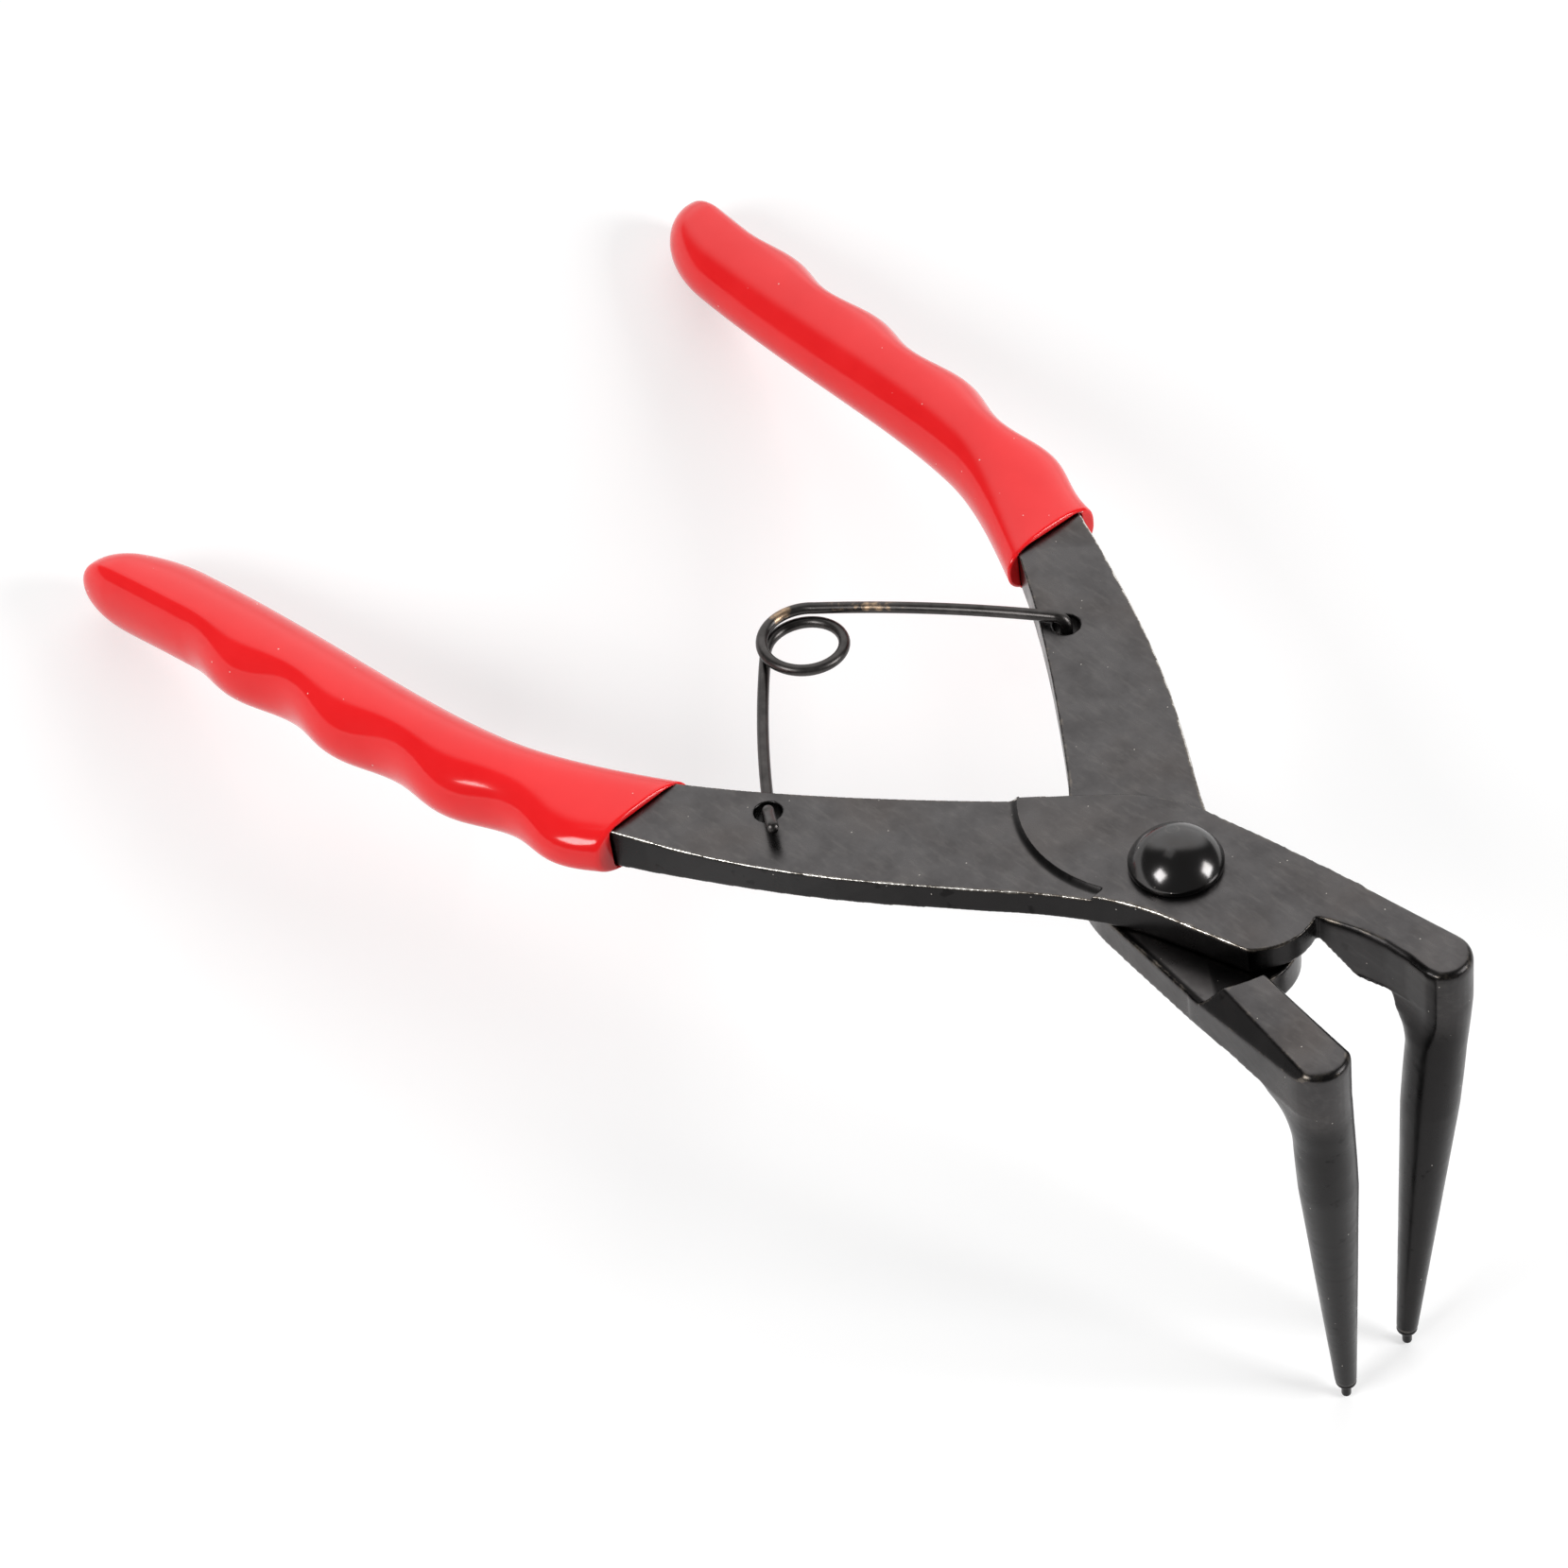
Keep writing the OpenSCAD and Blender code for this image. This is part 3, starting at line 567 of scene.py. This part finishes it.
pin_top = np.array([31.3586, 5.9286, -65.0])
pin_r = 0.65
pin_l = 2.35
root_r = 0.3
shoulder_r = 1.38
shoulder_round = 0.4
fillet = np.linspace(0, np.pi / 2, 9)[:, None]
rounded = corner(shoulder_r, 0, shoulder_round)
shoulder = np.concatenate([rounded[:, :1], -rounded[:, 1:] - shoulder_round], -1)
root = np.array([pin_r + root_r, 0.0]) + root_r * np.concatenate([-np.sin(fillet), np.cos(fillet) - 1], -1)
tip = np.concatenate([pin_r * np.cos(fillet), -pin_l - pin_r * np.sin(fillet)], -1)
tip[-1, 0] = 0.01
pin_profile = np.concatenate([[[1.0, 2.0]], shoulder, root, tip])
upper_pin = turned("upper_pin_turned", pin_profile, pin_top, points=48)
lower_pin = turned("lower_pin_turned", pin_profile, pin_top, points=48, mirrored=True)

# %% [markdown]
# ## The return spring
# One length of hard wire, wound twice round and hooked through a hole in each handle. A bevelled
# curve would twist at the tight hooks, so a circle is carried along the wire's path with a side
# direction that is only ever turned as much as the path turns. The wire is cut in three pieces for
# the hinge: the coil turns by half the angle and each leg bends from its handle to the coil.

# %% Bend the wire
wire_d = 1.6
hook_z = 0.9
leg_z = 2.397
coil_middle = np.array([-70.0, 0.8])
coil_r_upper = 6.2
coil_r_lower = 5.4
coil_drop = 1.45 * wire_d
hook_bend = 0.9 * wire_d
hook_l = 6.0
hook_rise = 1.6
hook_turn = np.radians(-33)
leg_bow = 0.8


def tangent_angle(point, radius, side):
    """Angle on the coil where the straight leg from a point touches it."""
    reach = point - coil_middle
    return np.arctan2(reach[1], reach[0]) + side * np.arccos(radius / np.linalg.norm(reach))


coil_start = tangent_angle(lower_hole, coil_r_upper, 1)
coil_end = tangent_angle(upper_hole, coil_r_lower, -1) + 4 * np.pi


def coil_path(k):
    """Two turns whose radius eases from the upper to the lower one while they sink."""
    a = coil_start + (coil_end - coil_start) * k
    r = coil_r_upper + (coil_r_lower - coil_r_upper) * ease(2.6 * k)
    across = coil_middle + r[..., None] * np.stack([np.cos(a), np.sin(a)], -1)
    return np.concatenate([across, coil_drop * (0.5 - np.asarray(k)[..., None])], -1)


def leg_path(start, hole):
    """Bowed leg from the coil to the upper lever's hole, a bend up through it and a hook over it."""
    foot_point = np.append(hole, -leg_z)
    way = np.append(hole - start[:2], 0)
    way = way / np.linalg.norm(way)
    aside = np.array([way[1], -way[0], 0])
    out = np.array([np.cos(hook_turn), np.sin(hook_turn), 0])
    rise = np.array([0, 0, 1])
    k = np.linspace(0, 1, 49)[:, None]
    a = np.linspace(0, np.pi / 2, 13)[:, None]
    top = np.append(hole, lever_t + hook_z)
    leg = start + (foot_point - hook_bend * way - start) * k + 4 * leg_bow * k * (1 - k) * aside
    bend_up = foot_point - hook_bend * (1 - np.sin(a)) * way + hook_bend * (1 - np.cos(a)) * rise
    bend_over = top - hook_bend * rise + hook_bend * ((1 - np.cos(a)) * out + np.sin(a) * rise)
    end = top + hook_rise * k[8::8] * rise + (hook_bend + (hook_l - hook_bend) * k[8::8]) * out
    return np.concatenate([leg, bend_up[1:], bend_over, end])


def wire(name, path, points=32):
    """Circle of the wire's radius carried along a path. Each side direction is the last one less its
    part along the path, so that the wire isn't twisted, and both ends have a small chamfer."""
    way = np.gradient(path, axis=0)
    way = way / np.linalg.norm(way, axis=1, keepdims=True)
    sides = [np.array([1.0, 0.0, 0.1])]
    for w in way:
        side = sides[-1] - sides[-1] @ w * w
        sides.append(side / np.linalg.norm(side))
    side = np.array(sides[1:])
    over = np.cross(way, side)
    a = np.linspace(0, 2 * np.pi, points, endpoint=False)[None, :, None]
    size = np.full((len(path), 1, 1), wire_d / 2)
    size[[0, -1]] = wire_d / 2 - 0.15
    return skin(name, path[:, None] + size * (np.cos(a) * side[:, None] + np.sin(a) * over[:, None]))


turn_over = np.array([1, -1, -1])
coil_k = np.linspace(0, 1, 361)
upper_leg = leg_path(coil_path(np.array(1.0)), upper_hole)
lower_leg = leg_path(coil_path(np.array(0.0)) * turn_over, lower_hole * [1, -1]) * turn_over
overlap = 4
coil_line = coil_path(coil_k)
spring_coil = wire("spring_coil", np.concatenate([lower_leg[1:2], coil_line, upper_leg[1:2]]))
spring_upper_leg = wire("spring_upper_leg", np.concatenate([coil_line[-overlap:-1], upper_leg]))
spring_lower_leg = wire("spring_lower_leg", np.concatenate([coil_line[overlap:0:-1], lower_leg]))
for piece, centre, spread, most in [(spring_coil, 0.095, 0.05, 1.0), (spring_lower_leg, 0.18, 0.14, 0.75)]:
    along = np.linspace(0, 1, len(piece.data.vertices))
    top = ease((get_normals(piece.data)[:, 2] + 0.1) / 0.5)
    paint(piece, "rub", most * top * np.exp(-(((along - centre) / spread) ** 2)))

# %% [markdown]
# ## Which half carries what
# The rivet is fixed in the upper lever, the grips are tight on their tangs, and the spring
# bends between the halves. Every piece names the body that it rides on.

# %% Set the pieces on the two halves
for piece, body, node, slot in [
    (upper_lever, "upper_half", "upper_lever", "lever_steel"),
    (upper_pin, "upper_half", "upper_lever", "lever_steel"),
    (lower_lever, "lower_half", "lower_lever", "lever_steel"),
    (lower_pin, "lower_half", "lower_lever", "lever_steel"),
    (rivet, "upper_half", "pivot_rivet", "rivet_steel"),
    (upper_grip, "upper_half", "upper_grip", "grip_vinyl"),
    (lower_grip, "lower_half", "lower_grip", "grip_vinyl"),
]:
    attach(piece, body)
    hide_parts(node)

upper_hook = np.append(upper_hole, 0.0)
lower_hook = np.append(lower_hole, 0.0)
far = np.array([0, 1000.0, 0])
coil_place = np.append(coil_middle, 0.0)
for piece, start, end in [
    (spring_upper_leg, upper_hook, 2 * upper_leg[0] - upper_hook),
    (spring_lower_leg, 2 * lower_leg[0] - lower_hook, lower_hook),
    (spring_coil, coil_place - far, coil_place + far),
]:
    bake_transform(piece, "upper_half", "lower_half", to_row(start), to_row(end))
    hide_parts("return_spring")

# %% [markdown]
# ## Finishes
# Colours are read as sRGB hex values and turned to linear light, and pattern scales come from real
# sizes in millimetres. One small function adds a node with its settings and links, so
# that each material reads from top to bottom.

# %% Helpers for the materials
def linear(hex_code):
    """sRGB hex to linear red, green, blue and full opacity."""
    c = np.array([int(hex_code[i:i + 2], 16) for i in (1, 3, 5)]) / 255
    c = np.where(c <= 0.04045, c / 12.92, ((c + 0.055) / 1.055) ** 2.4)
    return (*c.tolist(), 1.0)


def per_mm(size):
    """Scale of a pattern on Object coordinates, in metres, for features of that many millimetres."""
    return 1000 / size


def add(tree, kind, values=None, links=None, **settings):
    """Adds a node: settings are its own properties, values fill its sockets, links join sockets."""
    node = tree.nodes.new(kind)
    for key, value in settings.items():
        setattr(node, key, value)
    for socket, value in (values or {}).items():
        node.inputs[socket].default_value = value
    for socket, source in (links or {}).items():
        tree.links.new(source, node.inputs[socket])
    return node


def new_material(name):
    """An empty node material with its output, and the Object coordinates that its patterns read."""
    material = bpy.data.materials.new(name)
    material.use_nodes = True
    tree = material.node_tree
    tree.nodes.clear()
    place = add(tree, "ShaderNodeTexCoord").outputs["Object"]
    return material, tree, place


def mix(tree, share, first, second):
    """Mixes two colours by a share. A colour is a fixed value or another node's socket."""
    values = {}
    links = {0: share} if hasattr(share, "node") else {}
    if not links:
        values[0] = share
    for socket, colour in ((6, first), (7, second)):
        if hasattr(colour, "node"):
            links[socket] = colour
        else:
            values[socket] = colour
    return add(tree, "ShaderNodeMix", values, links, data_type="RGBA").outputs[2]


def noise(tree, place, size, detail=4.0, rough=0.55):
    """Cloudy pattern between 0 and 1 with features of about that many millimetres."""
    values = {"Scale": per_mm(size), "Detail": detail, "Roughness": rough}
    return add(tree, "ShaderNodeTexNoise", values, {"Vector": place}).outputs["Fac"]


def remap(tree, source, low, high, to_low=0.0, to_high=1.0):
    """Stretches a number from one range to another and stops at its ends."""
    values = {"From Min": low, "From Max": high, "To Min": to_low, "To Max": to_high}
    return add(tree, "ShaderNodeMapRange", values, {"Value": source}).outputs[0]


def times(tree, one, other):
    """Product of two numbers that come from other nodes."""
    return add(tree, "ShaderNodeMath", links={0: one, 1: other}, operation="MULTIPLY").outputs[0]


def specks(tree, place, pitch, size):
    """Round dots of a share of the pitch, one to a cell, for dust: 1 inside a dot and 0 outside."""
    cells = add(tree, "ShaderNodeTexVoronoi", {"Scale": per_mm(pitch)}, {"Vector": place})
    return remap(tree, cells.outputs["Distance"], size, 0.7 * size)


# %% [markdown]
# ## Blackened steel
# Hot oxide turns the forging black and leaves it a little shiny. Its tone is almost all
# reflection: a ground face shows the pale surroundings, and a step or a hollow shows the dark room. So it
# is made as a metal with a dark base colour, not as black paint. Fine grinding streaks, mottling, pale
# dust and bright or brownish rubbed edges, partly painted edge highlights, lie over that. Painted light
# pales some walls, and a painted shade darkens the lapped face under the upper lever.

# %% Forged steel, black oxide
def black_oxide():
    """Drop-forged carbon steel, smoothed by grinding on its faces, blackened in hot oxide and oiled: a dark
    metal whose faces are paler and smoother than its walls, with painted light on some walls, a painted
    shade on the lapped face, streaks, dust and rubbed edges that are partly painted edge highlights."""
    material, tree, place = new_material("forged_steel_black_oxide")
    ground = add(tree, "ShaderNodeAttribute", attribute_name="ground").outputs["Fac"]
    rub = add(tree, "ShaderNodeAttribute", attribute_name="rub").outputs["Fac"]
    mottle = noise(tree, place, 4.5, 5.0, 0.6)
    along = add(tree, "ShaderNodeMapping", {"Scale": (0.05, 1.0, 1.0)}, {"Vector": place}).outputs[0]
    streak = noise(tree, along, 0.9, 4.0, 0.6)
    tint = noise(tree, place, 14.0, 3.0)
    # Walls dark and faces paler; the share also holds painted light on some walls and a painted reflection
    # strip on the lapped face.
    tone = mix(tree, ground, linear("#282727"), linear("#555353"))
    tone = mix(tree, times(tree, ground, remap(tree, tint, 0.45, 0.7, 0.0, 0.3)), tone, linear("#554C46"))
    tone = mix(tree, remap(tree, mottle, 0.4, 0.75, 0.0, 0.4), tone, linear("#302E2E"))
    tone = mix(tree, times(tree, ground, remap(tree, streak, 0.5, 0.8, 0.0, 0.4)), tone, linear("#6A6765"))
    oil = remap(tree, noise(tree, place, 2.4, 2.0), 0.65, 0.71, 0.0, 0.7)
    tone = mix(tree, times(tree, remap(tree, ground, 0.0, 0.5, 1.0, 0.0), oil), tone, linear("#161515"))
    # Painted shade: the lapped face under the upper lever goes near black.
    lap = add(tree, "ShaderNodeAttribute", attribute_name="lap").outputs["Fac"]
    tone = mix(tree, times(tree, lap, remap(tree, mottle, 0.3, 0.6, 0.9, 0.6)), tone, linear("#121111"))
    # Rubbed edges go brownish, then bright: worn steel, and also painted edge highlights.
    scuff = noise(tree, place, 1.6, 4.0, 0.65)
    worn = times(tree, rub, remap(tree, scuff, 0.3, 0.7, 0.62, 1.1))
    tone = mix(tree, remap(tree, worn, 0.42, 0.6, 0.0, 0.5), tone, linear("#847B70"))
    bare_steel_and_highlight = remap(tree, worn, 0.62, 0.74)
    tone = mix(tree, bare_steel_and_highlight, tone, linear("#CFCCC7"))
    dot = specks(tree, place, 2.3, 0.045)
    tone = mix(tree, dot, tone, linear("#A9A39C"))
    satin = remap(tree, mottle, 0.35, 0.7, 0.26, 0.38)
    pits = noise(tree, place, 0.7, 3.0)
    relief = add(tree, "ShaderNodeBump", {"Strength": 0.12, "Distance": 0.00003}, {"Height": pits})
    metal = remap(tree, dot, 0.0, 1.0, 1.0, 0.0)
    links = {"Base Color": tone, "Roughness": satin, "Metallic": metal, "Normal": relief.outputs["Normal"]}
    surface = add(tree, "ShaderNodeBsdfPrincipled", links=links)
    add(tree, "ShaderNodeOutputMaterial", links={"Surface": surface.outputs[0]})
    return material


steel_black = black_oxide()
for piece in (upper_lever, lower_lever, upper_pin, lower_pin):
    piece.data.materials.append(steel_black)
print(steel_black.name)

# %% [markdown]
# ## Rivet and spring
# The rivet is turned and polished before it is blackened, so its dome mirrors the room. The
# spring's drawn wire is blued by heat and rubbed to bronze where its coil runs into the lower leg.
# Both are dark metals again, each with its own small marks.

# %% Rivet and spring
mark_place = to_row([-1.3, 0.95, 9.2]).tolist()


def rivet_black():
    """Turned steel, polished and blackened: a mirror-like dark dome with faint haze, dust and the
    faint ring that the lathe's centre left."""
    material, tree, place = new_material("turned_steel_polished_black")
    haze = noise(tree, place, 2.4)
    tone = mix(tree, remap(tree, haze, 0.4, 0.7, 0.0, 0.35), linear("#4C4B4B"), linear("#403C39"))
    away = add(tree, "ShaderNodeVectorMath", {1: mark_place}, {0: place}, operation="DISTANCE")
    far = away.outputs["Value"]
    ring = times(tree, remap(tree, far, 0.0007, 0.0008), remap(tree, far, 0.00095, 0.00085))
    tone = mix(tree, times(tree, ring, remap(tree, haze, 0.3, 0.6, 0.0, 0.5)), tone, linear("#7C7874"))
    tone = mix(tree, specks(tree, place, 2.2, 0.05), tone, linear("#B5B0AA"))
    gloss = remap(tree, haze, 0.3, 0.7, 0.15, 0.21)
    links = {"Base Color": tone, "Roughness": gloss}
    surface = add(tree, "ShaderNodeBsdfPrincipled", {"Metallic": 1.0}, links)
    add(tree, "ShaderNodeOutputMaterial", links={"Surface": surface.outputs[0]})
    return material


def wire_black():
    """Hard-drawn spring wire, blued dark: a low sheen along the wire, rubbed to bronze in places."""
    material, tree, place = new_material("spring_wire_blued")
    mottle = noise(tree, place, 2.5)
    tone = mix(tree, remap(tree, mottle, 0.35, 0.75), linear("#3B3938"), linear("#565352"))
    rub = add(tree, "ShaderNodeAttribute", attribute_name="rub").outputs["Fac"]
    worn = times(tree, rub, noise(tree, place, 1.2, 4.0, 0.65))
    tone = mix(tree, remap(tree, worn, 0.3, 0.48), tone, linear("#A88F76"))
    surface = add(
        tree, "ShaderNodeBsdfPrincipled", {"Metallic": 1.0},
        {"Base Color": tone, "Roughness": remap(tree, mottle, 0.3, 0.7, 0.28, 0.42)},
    )
    add(tree, "ShaderNodeOutputMaterial", links={"Surface": surface.outputs[0]})
    return material


rivet.data.materials.append(rivet_black())
spring_finish = wire_black()
for piece in (spring_coil, spring_upper_leg, spring_lower_leg):
    piece.data.materials.append(spring_finish)
print(spring_finish.name)

# %% [markdown]
# ## Grip vinyl
# The sleeves are moulded vinyl: one even, strong red under a wet-looking gloss. What gives
# them away as soft is a faint unevenness of the surface and the dust that clings to it.

# %% Red vinyl
def red_vinyl():
    """Soft vinyl moulded in a polished tool: a bright, even red with a smooth gloss, faint flow
    marks, a slight orange peel and a few specks of dust."""
    material, tree, place = new_material("moulded_vinyl_red")
    flow = noise(tree, place, 9.0, 3.0)
    tone = mix(tree, remap(tree, flow, 0.3, 0.75), linear("#EF1B1F"), linear("#F52326"))
    tone = mix(tree, specks(tree, place, 3.0, 0.045), tone, linear("#F2C9C4"))
    gloss = remap(tree, flow, 0.3, 0.7, 0.12, 0.18)
    peel = noise(tree, place, 1.6, 2.0)
    relief = add(tree, "ShaderNodeBump", {"Strength": 0.1, "Distance": 0.00004}, {"Height": peel})
    links = {"Base Color": tone, "Roughness": gloss, "Normal": relief.outputs["Normal"]}
    surface = add(tree, "ShaderNodeBsdfPrincipled", {"IOR": 1.53, "Specular IOR Level": 0.33}, links)
    add(tree, "ShaderNodeOutputMaterial", links={"Surface": surface.outputs[0]})
    return material


grip_red = red_vinyl()
for piece in (upper_grip, lower_grip):
    piece.data.materials.append(grip_red)
print(grip_red.name)

# %% [markdown]
# ## White table
# The tool stands on a white sheet. The sheet itself is a pale grey, so that it doesn't throw too much
# light up at the dark sides, and it shows as white to the camera and in reflections. A shadow still
# falls on it.

# %% The table
def white_table():
    """Pale sheet that reads as white: diffuse grey, with a glow only for camera, glossy and glass rays,
    which makes up for the lamps' light where that fades far from the tool."""
    material, tree, place = new_material("white_sheet")
    path = add(tree, "ShaderNodeLightPath")
    links = {0: path.outputs["Is Camera Ray"], 1: path.outputs["Is Glossy Ray"]}
    seen = add(tree, "ShaderNodeMath", links=links, operation="MAXIMUM")
    links = {0: seen.outputs[0], 1: path.outputs["Is Transmission Ray"]}
    shown = add(tree, "ShaderNodeMath", links=links, operation="MAXIMUM")
    sheet = add(tree, "ShaderNodeBsdfDiffuse", {"Color": (0.55, 0.55, 0.55, 1.0)})
    far = add(tree, "ShaderNodeVectorMath", links={0: place}, operation="LENGTH").outputs["Value"]
    strength = times(tree, shown.outputs[0], remap(tree, far, 0.3, 1.2, 0.48, 1.0))
    glow = add(tree, "ShaderNodeEmission", links={"Strength": strength})
    both = add(tree, "ShaderNodeAddShader", links={0: sheet.outputs[0], 1: glow.outputs[0]})
    add(tree, "ShaderNodeOutputMaterial", links={"Surface": both.outputs[0]})
    return material


table_half = 6.0
table_mesh = bpy.data.meshes.new("white_table")
table_corners = np.array([[-1, -1, 0], [1, -1, 0], [1, 1, 0], [-1, 1, 0]]) * table_half
table_mesh.from_pydata(table_corners.tolist(), [], [[0, 1, 2, 3]])
table = bpy.data.objects.new("white_table", table_mesh)
table_mesh.materials.append(white_table())
bpy.context.scene.collection.objects.link(table)

# %% [markdown]
# ## Studio light
# The rivet's dome shows how the tool was lit: two small soft boxes in front, a broad pale screen behind
# and a dark ceiling, to which one weak panel is added. The screen could be a plane, but that would
# stand in the way of a view from behind, so it is a soft patch in the world instead. The levels were
# set by comparing renders with the photograph.

# %% Lamps and world
middle = (np.array(cad_box[0]) + np.array(cad_box[1])) / 2


def soft_box(name, way, far, width, height, power):
    """Area lamp that far off in a direction from the tool's middle, facing it."""
    lamp = bpy.data.lights.new(name, "AREA")
    lamp.shape = "RECTANGLE"
    lamp.size = width
    lamp.size_y = height
    lamp.energy = power
    holder = bpy.data.objects.new(name, lamp)
    back = np.asarray(way, float) / np.linalg.norm(way)
    right = np.cross([0.0, 0.001, 1.0], back)
    right = right / np.linalg.norm(right)
    lamp_axes = np.stack([right, np.cross(back, right), back], -1)
    holder.matrix_world = Matrix.Translation(middle + far * back) @ Matrix(lamp_axes.tolist()).to_4x4()
    bpy.context.scene.collection.objects.link(holder)
    print(name, power, "W")


soft_box("front_left_box", (-0.14, -0.82, 0.553), 1.0, 0.36, 0.36, 6.2)
soft_box("front_right_box", (0.65, 0.53, 0.54), 1.0, 0.36, 0.36, 6.2)
soft_box("top_panel", (-0.45, -0.1, 0.88), 1.1, 0.35, 0.35, 0.25)


def studio_world():
    """Dark room with a pale screen behind the tool: brightness rises smoothly with the cosine of the
    angle between a direction and the middle of the screen."""
    world = bpy.data.worlds.new("studio")
    world.use_nodes = True
    tree = world.node_tree
    tree.nodes.clear()
    screen_way = np.array([-0.72, 0.58, 0.38])
    screen_way = screen_way / np.linalg.norm(screen_way)
    ray = add(tree, "ShaderNodeTexCoord").outputs["Generated"]
    near = add(
        tree, "ShaderNodeVectorMath", {1: screen_way.tolist()}, {0: ray}, operation="DOT_PRODUCT",
    ).outputs["Value"]
    fade = {"From Min": 0.64, "From Max": 0.82, "To Min": 0.2, "To Max": 1.8}
    level = add(tree, "ShaderNodeMapRange", fade, {"Value": near}, interpolation_type="SMOOTHSTEP")
    glow = add(tree, "ShaderNodeBackground", links={"Strength": level.outputs[0]})
    add(tree, "ShaderNodeOutputWorld", links={"Surface": glow.outputs[0]})
    return world


bpy.context.scene.world = studio_world()
bpy.context.scene.view_settings.view_transform = "Standard"

# %% [markdown]
# ## Camera
# The photograph was taken from the front right and above, a little rolled. Its place and axes were
# worked out in the levers' frame from the tool's own points, and are turned onto the table
# with everything else.

# %% The photograph's camera
camera_place = np.array([253.11, -241.15, 350.77])
camera_ahead = np.array([-0.5922, 0.4306, -0.6811])
camera_right = np.array([0.6679, 0.7352, -0.116])
picture_px = 1659
focus_px = 4200

camera = bpy.data.cameras.new("photo_camera")
camera.sensor_width = 36
camera.lens = focus_px * camera.sensor_width / picture_px
camera.clip_start = 0.01
holder = bpy.data.objects.new("photo_camera", camera)
back_axis = -camera_ahead @ lever_axes
back_axis = back_axis / np.linalg.norm(back_axis)
right_axis = camera_right @ lever_axes
right_axis = right_axis - right_axis @ back_axis * back_axis
right_axis = right_axis / np.linalg.norm(right_axis)
camera_axes = np.stack([right_axis, np.cross(back_axis, right_axis), back_axis], -1)
holder.matrix_world = Matrix.Translation(to_row(camera_place)) @ Matrix(camera_axes.tolist()).to_4x4()
bpy.context.scene.collection.objects.link(holder)
bpy.context.scene.camera = holder
print("camera at", [round(c, 3) for c in to_row(camera_place)])
